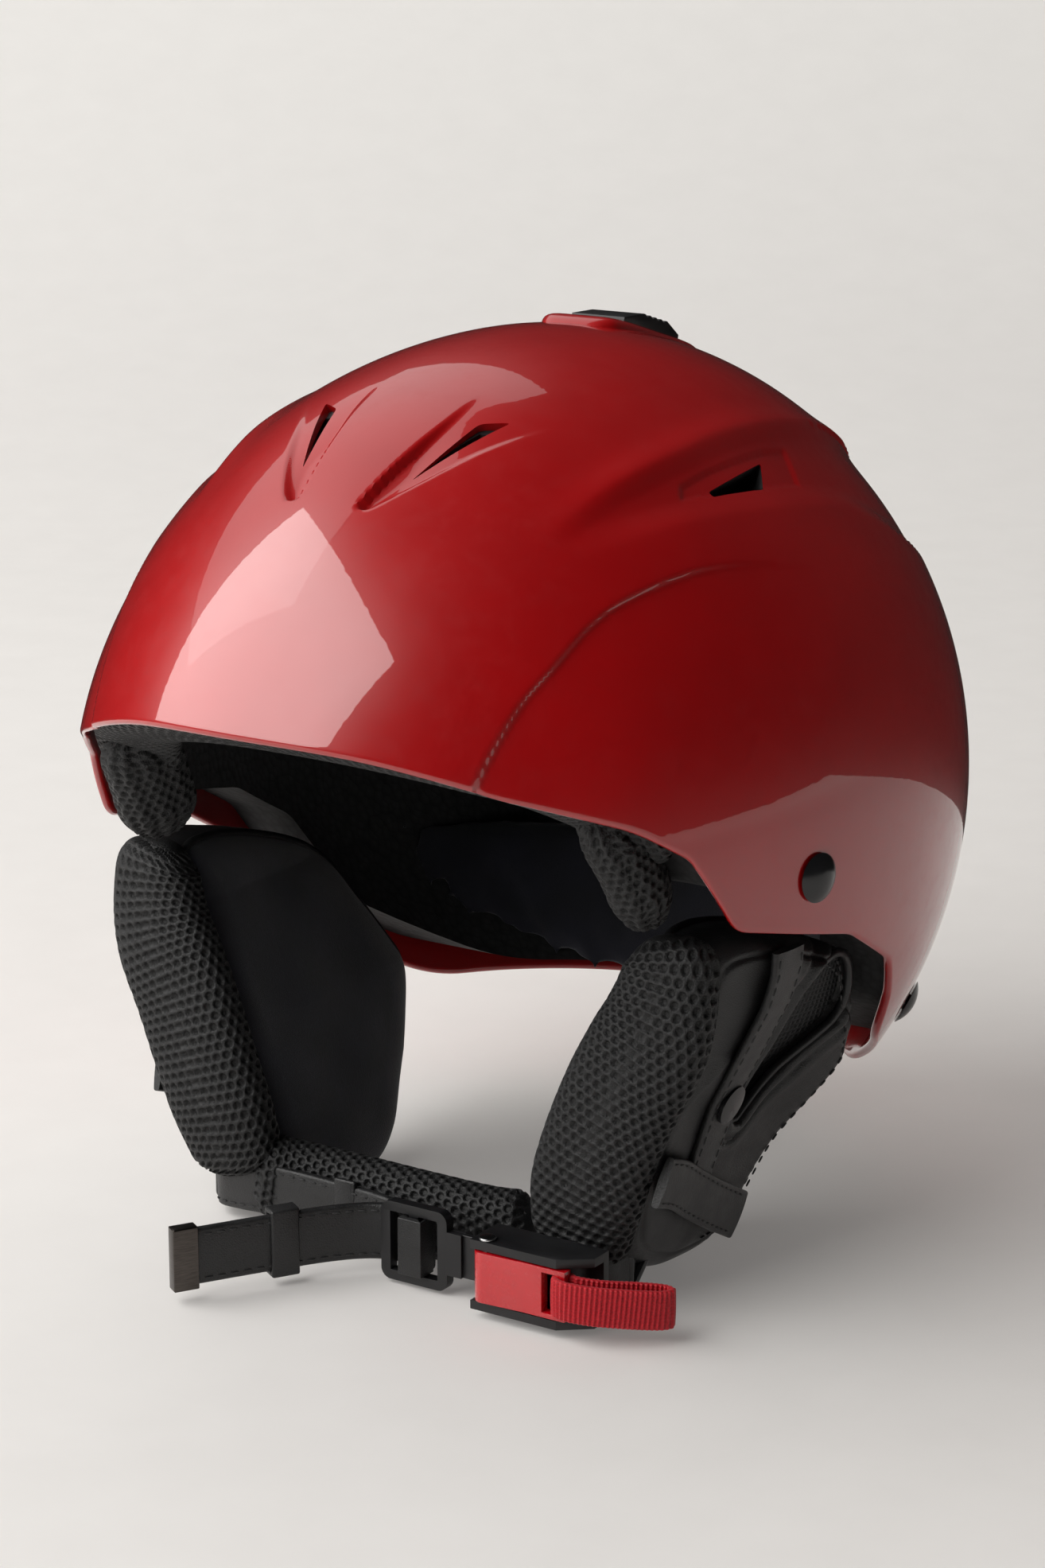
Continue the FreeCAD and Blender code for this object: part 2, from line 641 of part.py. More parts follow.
def build_ear_bolster():
    """Spacer-mesh roll along the pad's front edge."""
    back = [(y - CLEAR, z) for y, z in PAD_FRONT]
    foot = (back[0][0], BOLSTER_FRONT[-1][1])
    points = [foot] + back + BOLSTER_FRONT
    radii = [3, 10, 20, 3, 6, 20, 12, 8]
    roll = leaning_slab(points, radii, BOLSTER_SET_BACK, PAD_THICKNESS)
    return roll.common(BOLSTER_ROOM).cut(above_rim(-PAD_GAP))


def build_grille_ring():
    """Moulded ring round the ear opening, set in the cushion's recess."""
    ring = grille_prism(RING_WALL).cut(grille_prism(0))
    return ring.common(face_layer(0, GRILLE_DEPTH)).common(ROOM)


def build_grille_mesh():
    """Dark speaker-style mesh at the bottom of the ear opening."""
    return grille_prism(0).common(face_layer(GRILLE_DEPTH - 2, 2)).common(ROOM)


def band_outline(half_width):
    """Side view of the leather band on the pad's face."""
    (top_y, top_z), (foot_y, foot_z) = BAND_LINE
    top = [(top_y - half_width, top_z), (top_y + half_width, top_z)]
    return top + [(foot_y + half_width, foot_z), (foot_y - half_width, foot_z)]


def build_leather_band():
    """Strap anchor band, from under the shell's edge down the pad's face."""
    on_face = leaning_slab(band_outline(BAND_WIDTH / 2), [2, 2, 6, 6], -BAND_THICKNESS, BAND_THICKNESS)
    snap_hole = rod((40, *SNAP_SPOT), (140, *SNAP_SPOT), RIVET_SHANK_RADIUS)
    return on_face.common(ROOM).cut(snap_hole)


def pad_face_x(z):
    """The pad's outer face at a height, between the bends."""
    for (x_high, z_high), (x_low, z_low) in zip(PAD_FACE, PAD_FACE[1:]):
        if z_low <= z <= z_high:
            return x_low + (x_high - x_low) * (z - z_low) / (z_high - z_low)
    return PAD_FACE[-1][0]


def face_normal(z):
    """Outward direction of the pad's leaning face at a height."""
    for (x_high, z_high), (x_low, z_low) in zip(PAD_FACE, PAD_FACE[1:]):
        if z_low <= z <= z_high:
            return Vector(z_high - z_low, 0, -(x_high - x_low)).normalize()
    return Vector(1, 0, 0)


def build_band_snap():
    """Flat snap cap that holds the leather band on the pad."""
    y, z = SNAP_SPOT
    normal = face_normal(z)
    foot = Vector(pad_face_x(z) + BAND_THICKNESS, y, z) + normal * 0.5
    cap = Part.makeCylinder(STRAP_SNAP_RADIUS, 1.2, foot, normal)
    post = rod((foot.x - BAND_THICKNESS - 0.2, y, z), (foot.x + 0.6, y, z), RIVET_SHANK_RADIUS - RUNNING_FIT)
    return cap.fuse(post).cut(build_leather_band()).cut(build_ear_cushion())


def build_keeper():
    """Leather loop round the band and the pad's lower end."""
    front = BAND_LINE[1][0] - BAND_WIDTH / 2 + 1
    rear = front + KEEPER_LENGTH
    low = KEEPER_Z - KEEPER_HEIGHT / 2
    high = KEEPER_Z + KEEPER_HEIGHT / 2
    points = [(front, low), (rear, low - KEEPER_DROP), (rear, high - KEEPER_DROP), (front, high)]
    return leaning_slab(points, 3, -2 * BAND_THICKNESS, BAND_THICKNESS)


def build_ring_eye():
    """Leather tab with the eye that the strap ring turns in."""
    low_y = RING_FRONT_Y + 3.5
    high_y = low_y + EYE_LENGTH
    barrel = rod((RING_X, low_y, RING_EYE_Z), (RING_X, high_y, RING_EYE_Z), EYE_RADIUS)
    near = RING_X + EYE_RADIUS - 2
    far = RING_X + EYE_RADIUS
    top = RING_EYE_Z + 12
    tongue = block((near, low_y, RING_EYE_Z), (far, high_y, top))
    root = block((near, low_y, RING_EYE_Z + 5), (far, PAD_BOTTOM[-1][0] + 4, top))
    eye = barrel.fuse(tongue).fuse(root)
    bore = rod((RING_X, low_y - 1, RING_EYE_Z), (RING_X, high_y + 1, RING_EYE_Z), RING_WIRE + RUNNING_FIT)
    points, radii = pad_outline()
    pad = leaning_slab(points, radii, 0, PAD_THICKNESS)
    return eye.cut(bore).cut(pad).cut(build_leather_band()).cut(build_keeper())


# ================================================================ chin strap
def build_strap_ring():
    """Triangular wire ring: its top bar turns in the pad's eye and the strap goes round its front bar."""
    corners = [(RING_BACK_Y, RING_EYE_Z), (RING_FRONT_Y, RING_EYE_Z), (RING_FRONT_Y, RING_FOOT_Z)]
    wire = None
    for i, (y, z) in enumerate(corners):
        next_y, next_z = corners[(i + 1) % 3]
        piece = rod((RING_X, y, z), (RING_X, next_y, next_z), RING_WIRE)
        piece = piece.fuse(Part.makeSphere(RING_WIRE, Vector(RING_X, y, z)))
        wire = piece if wire is None else wire.fuse(piece)
    return wire


def ring_wrap():
    """The strap's end sewn round the ring's front bar."""
    low = RING_FOOT_Z - 0.5
    high = RING_EYE_Z - RING_WIRE - EYE_RADIUS
    sleeve = rod((RING_X, RING_FRONT_Y, low), (RING_X, RING_FRONT_Y, high), RING_WIRE + STRAP_THICKNESS)
    return sleeve, low, high


def build_left_strap():
    """Short strap from the left ring to the buckle."""
    sleeve, low, high = ring_wrap()
    behind = BASE_BACK_Y + STRAP_THICKNESS / 2 + 0.2
    path = [(RING_X, RING_FRONT_Y - 3), (RING_X, RING_FRONT_Y - 8), (BUCKLE_END - 8, behind)]
    path += [(BUCKLE_END - 17, behind)]
    strap = band(path, [6, 6], STRAP_THICKNESS, low, high)
    return sleeve.fuse(strap).cut(build_strap_ring())


def lever_axis_rod(low, high, radius):
    """An upright cylinder on the release lever's axis."""
    return rod((LEVER_PIN_X, LEVER_PIN_Y, low), (LEVER_PIN_X, LEVER_PIN_Y, high), radius)


def build_buckle_base():
    """Channel-shaped buckle body: back plate and two rails, which hold the lever's pin."""
    low = CHANNEL_LOW - BUCKLE_WALL
    high = CHANNEL_HIGH + BUCKLE_WALL
    body = block((BUCKLE_START, BASE_FRONT_Y, low), (BUCKLE_END, BASE_BACK_Y, high))
    channel_low = (BUCKLE_START - 1, BASE_FRONT_Y - 1, CHANNEL_LOW)
    channel = block(channel_low, (BUCKLE_END + 1, BASE_BACK_Y - BUCKLE_WALL, CHANNEL_HIGH))
    base = body.cut(channel)
    past = BUCKLE_END + 1
    slope = [(BUCKLE_END - 9, BASE_FRONT_Y - 1), (past, BASE_FRONT_Y - 1), (past, BASE_FRONT_Y + 7)]
    base = base.cut(slab(slope, 0, "xy", low - 1, high + 1))
    return base.cut(lever_axis_rod(low - 1, high + 1, LEVER_PIN_RADIUS))


def build_buckle_pin():
    """Headed pivot pin of the release lever."""
    low = CHANNEL_LOW - BUCKLE_WALL
    high = CHANNEL_HIGH + BUCKLE_WALL
    pin = lever_axis_rod(low, high, LEVER_PIN_RADIUS)
    head = lever_axis_rod(high, high + 0.8, LEVER_PIN_RADIUS + 1)
    return pin.fuse(head)


def build_buckle_spring():
    """Return spring round the pin, between the lever's knuckles: coils as touching wire rings."""
    coils = []
    for i in range(-2, 3):
        centre = Vector(LEVER_PIN_X, LEVER_PIN_Y, STRAP_MIDDLE + i * 2 * (SPRING_WIRE + 0.02))
        coils.append(Part.makeTorus(LEVER_PIN_RADIUS + SPRING_WIRE + 0.1, SPRING_WIRE, centre))
    return group(coils)


def build_release_lever():
    """Red lever: two knuckles on the pin, a cover plate and the eye bar for the pull tab."""
    knuckles = lever_axis_rod(LEVER_LOW, LEVER_HIGH, LEVER_BARREL_RADIUS)
    root = LEVER_PIN_Y - LEVER_BARREL_RADIUS
    bend = LEVER_PIN_X + 12
    front = [(LEVER_PIN_X, root), (bend, LEVER_FACE_Y), (TAB_AT, LEVER_FACE_Y)]
    back = [(x, y + LEVER_THICKNESS) for x, y in front[::-1]]
    lever = knuckles.fuse(slab(front + back, 0, "xy", LEVER_LOW, LEVER_HIGH))
    spring_room = lever_axis_rod(STRAP_MIDDLE - 2.6, STRAP_MIDDLE + 2.6, LEVER_PIN_RADIUS + 1.3)
    lever = lever.cut(spring_room)
    half = TAB_WIDTH / 2 - 1
    window = block((TAB_AT - 7, root - 1, STRAP_MIDDLE - half), (TAB_AT - 3, root + 6, STRAP_MIDDLE + half))
    bore = lever_axis_rod(0, 40, LEVER_PIN_RADIUS + RUNNING_FIT)
    return lever.cut(window).cut(bore).removeSplitter()


def build_release_pawl():
    """Hardened tooth under the lever that stops the comb."""
    back = LEVER_FACE_Y + LEVER_THICKNESS
    tip = COMB_Y - COMB_THICKNESS / 2 - COMB_TOOTH - 0.3
    plan = [(LEVER_PIN_X + 6, back), (LEVER_PIN_X + 11, back)]
    plan += [(LEVER_PIN_X + 8.5, tip), (LEVER_PIN_X + 7.5, tip)]
    return slab(plan, 0, "xy", STRAP_MIDDLE - 4.5, STRAP_MIDDLE + 4.5)


def build_pull_tab():
    """Ribbed webbing loop sewn through the lever's window."""
    low = STRAP_MIDDLE - TAB_WIDTH / 2 + 1.4
    high = STRAP_MIDDLE + TAB_WIDTH / 2 - 1.4
    eye_x = TAB_AT - 1.5
    middle = LEVER_FACE_Y + LEVER_THICKNESS / 2
    ring_radius = LEVER_THICKNESS / 2 + 1.0
    collar = rod((eye_x, middle, low), (eye_x, middle, high), ring_radius + TAB_WEB)
    path = [(eye_x + ring_radius + 0.6, middle), (eye_x + 10, middle + 2), (eye_x + TAB_LENGTH, middle + 12)]
    tongue = band(path, [14], TAB_WEB * 2, low, high)
    eye = rod((eye_x, middle, low - 1), (eye_x, middle, high + 1), ring_radius)
    return collar.fuse(tongue).cut(eye)


def build_ratchet_comb():
    """Toothed tongue: fixed to the ladder lock, it runs into the buckle."""
    back = COMB_Y + COMB_THICKNESS / 2
    front = COMB_Y - COMB_THICKNESS / 2
    teeth_start = COMB_START + 8
    count = int((COMB_END - 3 - teeth_start) / COMB_PITCH)
    plan = [(COMB_START, back), (COMB_END, back), (COMB_END, front)]
    for i in reversed(range(count)):
        x = teeth_start + i * COMB_PITCH
        plan += [(x + COMB_PITCH, front - COMB_TOOTH), (x, front)]
    plan += [(COMB_START, front)]
    return slab(plan, 0, "xy", STRAP_MIDDLE - COMB_HEIGHT / 2, STRAP_MIDDLE + COMB_HEIGHT / 2)


def build_ladder_lock():
    """Rectangular frame with a middle bar, on which the strap's length is set."""
    low_x = LOCK_CENTRE - LOCK_WIDTH / 2
    high_x = LOCK_CENTRE + LOCK_WIDTH / 2
    low_z = STRAP_MIDDLE - LOCK_HEIGHT / 2
    high_z = STRAP_MIDDLE + LOCK_HEIGHT / 2
    front = COMB_Y - LOCK_THICKNESS / 2
    back = COMB_Y + LOCK_THICKNESS / 2
    outline = [(low_x, low_z), (high_x, low_z), (high_x, high_z), (low_x, high_z)]
    frame = slab(outline, 3, "xz", front, back)
    gap = (LOCK_WIDTH - 3 * LOCK_BAR) / 2
    low = STRAP_MIDDLE - STRAP_WIDTH / 2 + 1.2
    high = STRAP_MIDDLE + STRAP_WIDTH / 2 - 1.2
    for x in (low_x + LOCK_BAR, low_x + 2 * LOCK_BAR + gap):
        frame = frame.cut(block((x, front - 1, low), (x + gap, back + 1, high)))
    half = COMB_HEIGHT / 2
    lug = block((high_x - 0.5, front, STRAP_MIDDLE - half), (COMB_START + 4, back, STRAP_MIDDLE + half))
    slot_front = COMB_Y - COMB_THICKNESS / 2
    slot = block((COMB_START, slot_front, 0), (COMB_START + 9, slot_front + COMB_THICKNESS, 2 * STRAP_MIDDLE))
    return frame.fuse(lug).cut(slot).removeSplitter()


def build_tail_strap():
    """Leather tail that comes off the ladder lock and curves forward."""
    return band(TAIL_PATH, [8, 24], STRAP_THICKNESS, TAIL_LOW, TAIL_HIGH)


def build_lock_wrap():
    """Leather fold over the lock's middle bar."""
    reach = LOCK_THICKNESS / 2 + 0.3
    half = LOCK_BAR / 2 + 0.3
    wide = half + WRAP_THICKNESS
    left = LOCK_CENTRE - half
    right = LOCK_CENTRE + half
    inner = block((left, COMB_Y - reach, TAIL_LOW), (right, COMB_Y + reach, TAIL_HIGH))
    front = COMB_Y - reach - WRAP_THICKNESS
    back = COMB_Y + reach + 0.4
    outer = block((LOCK_CENTRE - wide, front, TAIL_LOW), (LOCK_CENTRE + wide, back, TAIL_HIGH))
    return outer.cut(inner)


def tail_direction():
    """Unit vector along the tail's last run, seen from above."""
    (x0, y0), (x1, y1) = TAIL_PATH[-2:]
    return Vector(x1 - x0, y1 - y0, 0).normalize()


def build_end_cap():
    """Folded metal cap clamped on the tail's end."""
    along = tail_direction()
    end = Vector(*TAIL_END, 0)
    start = end - along * (CAP_LENGTH - 1)
    stop = end + along
    path = [(start.x, start.y), (stop.x, stop.y)]
    outer = band(path, [], STRAP_THICKNESS + 1.6, TAIL_LOW - 0.8, TAIL_HIGH + 0.8)
    return outer.cut(build_tail_strap())


def build_tail_keeper():
    """Small leather loop that gathers the tail beside the lock."""
    along = tail_direction()
    middle = Vector(TAIL_PATH[2][0], TAIL_PATH[2][1], 0) + along * 12
    loops = []
    for reach, wall in ((4, 1.5), (5, 0.1)):
        start = middle - along * reach
        stop = middle + along * reach
        path = [(start.x, start.y), (stop.x, stop.y)]
        loops.append(band(path, [], STRAP_THICKNESS + 2 * wall, TAIL_LOW - wall, TAIL_HIGH + wall))
    return loops[0].cut(loops[1])


def build_right_strap():
    """Leather strap from the right ring along the chin pad's front face."""
    sleeve, low, high = ring_wrap()
    sleeve = mirrored(sleeve)
    front_y = CHIN_PAD_Y - CHIN_PAD_THICKNESS / 2 - STRAP_THICKNESS / 2 - 0.2
    ring_y = RING_FRONT_Y - 3.2
    path = [(-RING_X + 1, ring_y), (-RING_X + 10, ring_y)]
    path += [(CHIN_PAD_START - 4, front_y), (CHIN_STRAP_END, front_y)]
    run = band(path, [8, 8], STRAP_THICKNESS, low, high)
    return sleeve.fuse(run).cut(mirrored(build_strap_ring()))


def build_chin_pad():
    """Padded mesh sleeve under the chin."""
    half = CHIN_PAD_THICKNESS / 2
    low = STRAP_MIDDLE - CHIN_PAD_HEIGHT / 2
    high = STRAP_MIDDLE + CHIN_PAD_HEIGHT / 2
    front_view = [(CHIN_PAD_START, low), (CHIN_PAD_END, low), (CHIN_PAD_END, high), (CHIN_PAD_START, high)]
    pad = slab(front_view, 6, "xz", CHIN_PAD_Y - half, CHIN_PAD_Y + half)
    long_edges = [e for e in pad.Edges if abs(e.tangentAt(e.FirstParameter).y) < 0.5 and e.Length > 20]
    return pad.makeFillet(4, long_edges)


def build_pad_keeper():
    """Narrow loop that ties the strap to the chin pad."""
    x = CHIN_PAD_START + 18
    front = CHIN_PAD_Y - CHIN_PAD_THICKNESS / 2 - STRAP_THICKNESS - 0.4
    return block((x, front - 1.4, TAIL_LOW - 1), (x + 7, front, TAIL_HIGH + 1))


# ================================================================ nodes
save("outer_shell", build_outer_shell())
save("foam_liner", build_foam_liner())
save("crown_liner", build_crown_liner())
save("brow_pad", build_brow_pad())
save("neck_pad", build_neck_pad())
save("front_strap_rivets", build_rivets("front"))
save("rear_strap_rivets", build_rivets("rear"))
save("rivet_washers", build_washers())
save("slider_knob", build_slider_knob())
save("shutter_plate", build_shutter_plate())
save("clip_base", build_clip_base())
save("clip_pin", build_clip_pin())
save("clip_flap", build_clip_flap())
save("clip_snap", build_clip_snap())
save("clip_stud", build_snap_stud())

EAR_PIECES = {
    "temple_pad": build_temple_pad(),
    "ear_cushion": build_ear_cushion(),
    "ear_lining": build_ear_lining(),
    "ear_bolster": build_ear_bolster(),
    "grille_ring": build_grille_ring(),
    "grille_mesh": build_grille_mesh(),
    "leather_band": build_leather_band(),
    "band_snap": build_band_snap(),
    "band_keeper": build_keeper(),
    "ring_eye": build_ring_eye(),
    "strap_ring": build_strap_ring(),
}
for piece_name, piece in EAR_PIECES.items():
    for side_name, side in (("left", 1), ("right", -1)):
        save(piece_name + "_" + side_name, sided(piece, side))

save("left_strap", build_left_strap())
save("buckle_base", build_buckle_base())
save("buckle_pin", build_buckle_pin())
save("buckle_spring", build_buckle_spring())
save("release_lever", build_release_lever())
save("release_pawl", build_release_pawl())
save("pull_tab", build_pull_tab())
save("right_strap", build_right_strap())
save("chin_pad", build_chin_pad())
save("pad_keeper", build_pad_keeper())
save("ratchet_comb", build_ratchet_comb())
save("ladder_lock", build_ladder_lock())
save("lock_wrap", build_lock_wrap())
save("tail_strap", build_tail_strap())
save("tail_keeper", build_tail_keeper())
save("end_cap", build_end_cap())
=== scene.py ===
import logging
import math
from dataclasses import dataclass
from enum import Enum
from typing import Iterable, Sequence

import bmesh
import bpy
import numpy as np
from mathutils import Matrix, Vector


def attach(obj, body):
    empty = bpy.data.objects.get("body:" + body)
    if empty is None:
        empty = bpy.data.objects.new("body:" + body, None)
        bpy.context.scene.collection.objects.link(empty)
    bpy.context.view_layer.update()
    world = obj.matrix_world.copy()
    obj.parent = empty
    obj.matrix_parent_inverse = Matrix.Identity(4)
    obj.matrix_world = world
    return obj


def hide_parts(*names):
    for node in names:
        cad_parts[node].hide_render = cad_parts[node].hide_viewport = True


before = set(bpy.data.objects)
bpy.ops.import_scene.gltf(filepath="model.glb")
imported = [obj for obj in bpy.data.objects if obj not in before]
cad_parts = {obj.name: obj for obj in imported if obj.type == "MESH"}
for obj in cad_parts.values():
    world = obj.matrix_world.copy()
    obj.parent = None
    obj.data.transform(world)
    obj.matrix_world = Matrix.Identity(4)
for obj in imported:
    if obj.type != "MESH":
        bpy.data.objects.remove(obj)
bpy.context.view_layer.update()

MM = 0.001
Point = tuple[float, float, float]
log = logging.getLogger("ski_helmet")


class Side(Enum):
    """The wearer's side of a paired piece."""

    LEFT = 1
    RIGHT = -1

    @property
    def word(self) -> str:
        """The ending that the side's pieces carry in their names."""
        return self.name.lower()


# ---------------------------------------------------------------- node trees
class NodeKit:
    """A small helper that adds and links the nodes of one material."""

    def __init__(self, name: str) -> None:
        """Starts an empty material with an output and a main shader.

        Args:
            name: The material's name.
        """
        self.material = bpy.data.materials.new(name)
        self.material.use_nodes = True
        self.tree = self.material.node_tree
        self.tree.nodes.clear()
        self.output = self.tree.nodes.new("ShaderNodeOutputMaterial")
        self.shader = self.tree.nodes.new("ShaderNodeBsdfPrincipled")
        self.tree.links.new(self.shader.outputs[0], self.output.inputs[0])

    def add(self, kind: str, **values: object) -> bpy.types.Node:
        """Adds a node and sets its properties or unlinked inputs.

        Args:
            kind: The node's type, without the ShaderNode prefix.
            values: Property or input names, with underscores for spaces.

        Returns:
            The new node.
        """
        node = self.tree.nodes.new("ShaderNode" + kind)
        for key, value in values.items():
            if hasattr(node, key):
                setattr(node, key, value)
            else:
                node.inputs[key.replace("_", " ")].default_value = value
        return node

    def link(self, source: object, target: object) -> None:
        """Joins an output socket to an input socket."""
        self.tree.links.new(source, target)

    def set(self, **values: object) -> None:
        """Sets uniform values on the shader's own sockets."""
        for key, value in values.items():
            self.shader.inputs[key.replace("_", " ")].default_value = value

    def position(self, scale: float) -> object:
        """Object coordinates in units of one over scale metres.

        Args:
            scale: How many pattern cells fit in a metre.

        Returns:
            The vector output of the mapping.
        """
        coords = self.add("TexCoord")
        mapping = self.add("Mapping")
        mapping.inputs["Scale"].default_value = (scale, scale, scale)
        self.link(coords.outputs["Object"], mapping.inputs["Vector"])
        return mapping.outputs[0]

    def ramp(self, source: object, stops: Sequence[tuple[float, Sequence[float]]]) -> object:
        """A colour ramp driven by a value.

        Args:
            source: The value socket.
            stops: Position and RGB colour of each stop.

        Returns:
            The ramp's colour output.
        """
        node = self.add("ValToRGB")
        elements = node.color_ramp.elements
        while len(elements) < len(stops):
            elements.new(0.5)
        for element, (place, colour) in zip(elements, stops):
            element.position = place
            element.color = (*colour, 1.0)
        self.link(source, node.inputs[0])
        return node.outputs[0]

    def bump(self, height: object, strength: float, distance: float, below: object = None) -> object:
        """Bump from a height value.

        Args:
            height: The height socket.
            strength: Strength from 0 to 1.
            distance: Height of the relief in metres.
            below: Another bump's normal to build on.

        Returns:
            The normal output.
        """
        node = self.add("Bump", Strength=strength, Distance=distance)
        self.link(height, node.inputs["Height"])
        if below is not None:
            self.link(below, node.inputs["Normal"])
        return node.outputs[0]


def tinted(colour: Sequence[float], factor: float) -> tuple[float, float, float]:
    """A colour made lighter or darker by a factor."""
    return tuple(min(1.0, channel * factor) for channel in colour)


@dataclass(frozen=True)
class GlossCoat:
    """Pigmented plastic under a deep clear coat, as on the shell and the release lever."""

    name: str
    colour: tuple[float, float, float]
    base_roughness: float = 0.32
    coat_roughness: float = 0.02
    peel: float = 0.035

    def make(self) -> bpy.types.Material:
        """Builds the material.

        Returns:
            The new material.
        """
        kit = NodeKit(self.name)
        cloud = kit.add("TexNoise", Scale=1.0, Detail=2.0)
        kit.link(kit.position(28), cloud.inputs["Vector"])
        colour = kit.ramp(cloud.outputs[0],
                          [(0.3, tinted(self.colour, 0.93)), (0.7, tinted(self.colour, 1.06))])
        kit.link(colour, kit.shader.inputs["Base Color"])
        peel = kit.add("TexNoise", Scale=1.0, Detail=1.0)
        kit.link(kit.position(420), peel.inputs["Vector"])
        kit.link(kit.bump(peel.outputs[0], self.peel, 0.0002), kit.shader.inputs["Coat Normal"])
        scuff = kit.add("TexNoise", Scale=1.0, Detail=6.0, Roughness=0.7)
        kit.link(kit.position(160), scuff.inputs["Vector"])
        spread = kit.add("MapRange", From_Min=0.45, From_Max=0.75, To_Min=self.base_roughness)
        spread.inputs["To Max"].default_value = self.base_roughness + 0.08
        kit.link(scuff.outputs[0], spread.inputs["Value"])
        kit.link(spread.outputs[0], kit.shader.inputs["Roughness"])
        kit.set(Coat_Weight=1.0, Coat_Roughness=self.coat_roughness, Coat_IOR=1.62)
        return kit.material


@dataclass(frozen=True)
class Leather:
    """Smooth dyed leather with a fine pebble grain and rubbed high spots."""

    name: str
    colour: tuple[float, float, float] = (0.011, 0.011, 0.0115)
    roughness: float = 0.42
    grain: float = 1500.0
    relief: float = 0.45

    def make(self) -> bpy.types.Material:
        """Builds the material.

        Returns:
            The new material.
        """
        kit = NodeKit(self.name)
        cells = kit.add("TexVoronoi", feature="DISTANCE_TO_EDGE", Scale=1.0, Randomness=0.9)
        kit.link(kit.position(self.grain), cells.inputs["Vector"])
        folds = kit.add("TexNoise", Scale=1.0, Detail=5.0, Roughness=0.6)
        kit.link(kit.position(self.grain * 0.09), folds.inputs["Vector"])
        soft = kit.add("MapRange", From_Max=0.35)
        kit.link(cells.outputs[0], soft.inputs["Value"])
        pebble = kit.bump(soft.outputs[0], self.relief, 0.00012)
        kit.link(kit.bump(folds.outputs[0], 0.3, 0.0004, pebble), kit.shader.inputs["Normal"])
        colour = kit.ramp(folds.outputs[0],
                          [(0.3, tinted(self.colour, 0.8)), (0.75, tinted(self.colour, 1.7))])
        kit.link(colour, kit.shader.inputs["Base Color"])
        rub = kit.add("MapRange", From_Min=0.3, From_Max=0.7, To_Min=self.roughness - 0.07)
        rub.inputs["To Max"].default_value = self.roughness + 0.1
        kit.link(folds.outputs[0], rub.inputs["Value"])
        kit.link(rub.outputs[0], kit.shader.inputs["Roughness"])
        return kit.material


@dataclass(frozen=True)
class SpacerMesh:
    """Three-layer knit with round holes: the holes are in the mesh, the yarn in the bump, and the holes are
    painted darker as shade.
    """

    name: str
    colour: tuple[float, float, float] = (0.0062, 0.0062, 0.0068)
    # Painted shade: the darker colour given to the bottoms of the holes.
    deep: tuple[float, float, float] = (0.0012, 0.0012, 0.0014)

    def make(self) -> bpy.types.Material:
        """Builds the material.

        Returns:
            The new material.
        """
        kit = NodeKit(self.name)
        hole = kit.add("Attribute", attribute_name="hole")
        yarn = kit.add("TexNoise", Scale=1.0, Detail=4.0, Roughness=0.65)
        kit.link(kit.position(2600), yarn.inputs["Vector"])
        knit = kit.add("TexVoronoi", feature="F1", Scale=1.0, Randomness=0.6)
        kit.link(kit.position(1900), knit.inputs["Vector"])
        colour = kit.ramp(yarn.outputs[0],
                          [(0.3, tinted(self.colour, 0.55)), (0.75, tinted(self.colour, 1.6))])
        # Painted shade: the hole mask blends the holes towards the darker colour.
        hole_shade_mix = kit.add("Mix", data_type="RGBA")
        kit.link(hole.outputs["Fac"], hole_shade_mix.inputs["Factor"])
        kit.link(colour, hole_shade_mix.inputs[6])
        hole_shade_mix.inputs[7].default_value = (*self.deep, 1.0)
        kit.link(hole_shade_mix.outputs[2], kit.shader.inputs["Base Color"])
        loops = kit.bump(knit.outputs[0], 0.55, 0.00025)
        kit.link(kit.bump(yarn.outputs[0], 0.35, 0.0002, loops), kit.shader.inputs["Normal"])
        kit.set(Roughness=0.6, Sheen_Weight=0.03, Sheen_Roughness=0.45)
        return kit.material


@dataclass(frozen=True)
class Velour:
    """Brushed knit with a short pile and a soft sheen."""

    name: str
    colour: tuple[float, float, float] = (0.0055, 0.006, 0.013)
    sheen: float = 0.35

    def make(self) -> bpy.types.Material:
        """Builds the material.

        Returns:
            The new material.
        """
        kit = NodeKit(self.name)
        pile = kit.add("TexNoise", Scale=1.0, Detail=6.0, Roughness=0.75)
        kit.link(kit.position(1700), pile.inputs["Vector"])
        nap = kit.add("TexNoise", Scale=1.0, Detail=3.0)
        kit.link(kit.position(90), nap.inputs["Vector"])
        colour = kit.ramp(nap.outputs[0],
                          [(0.3, tinted(self.colour, 0.75)), (0.7, tinted(self.colour, 1.45))])
        kit.link(colour, kit.shader.inputs["Base Color"])
        kit.link(kit.bump(pile.outputs[0], 0.6, 0.0003), kit.shader.inputs["Normal"])
        kit.set(Roughness=0.9, Sheen_Weight=self.sheen, Sheen_Roughness=0.5)
        return kit.material


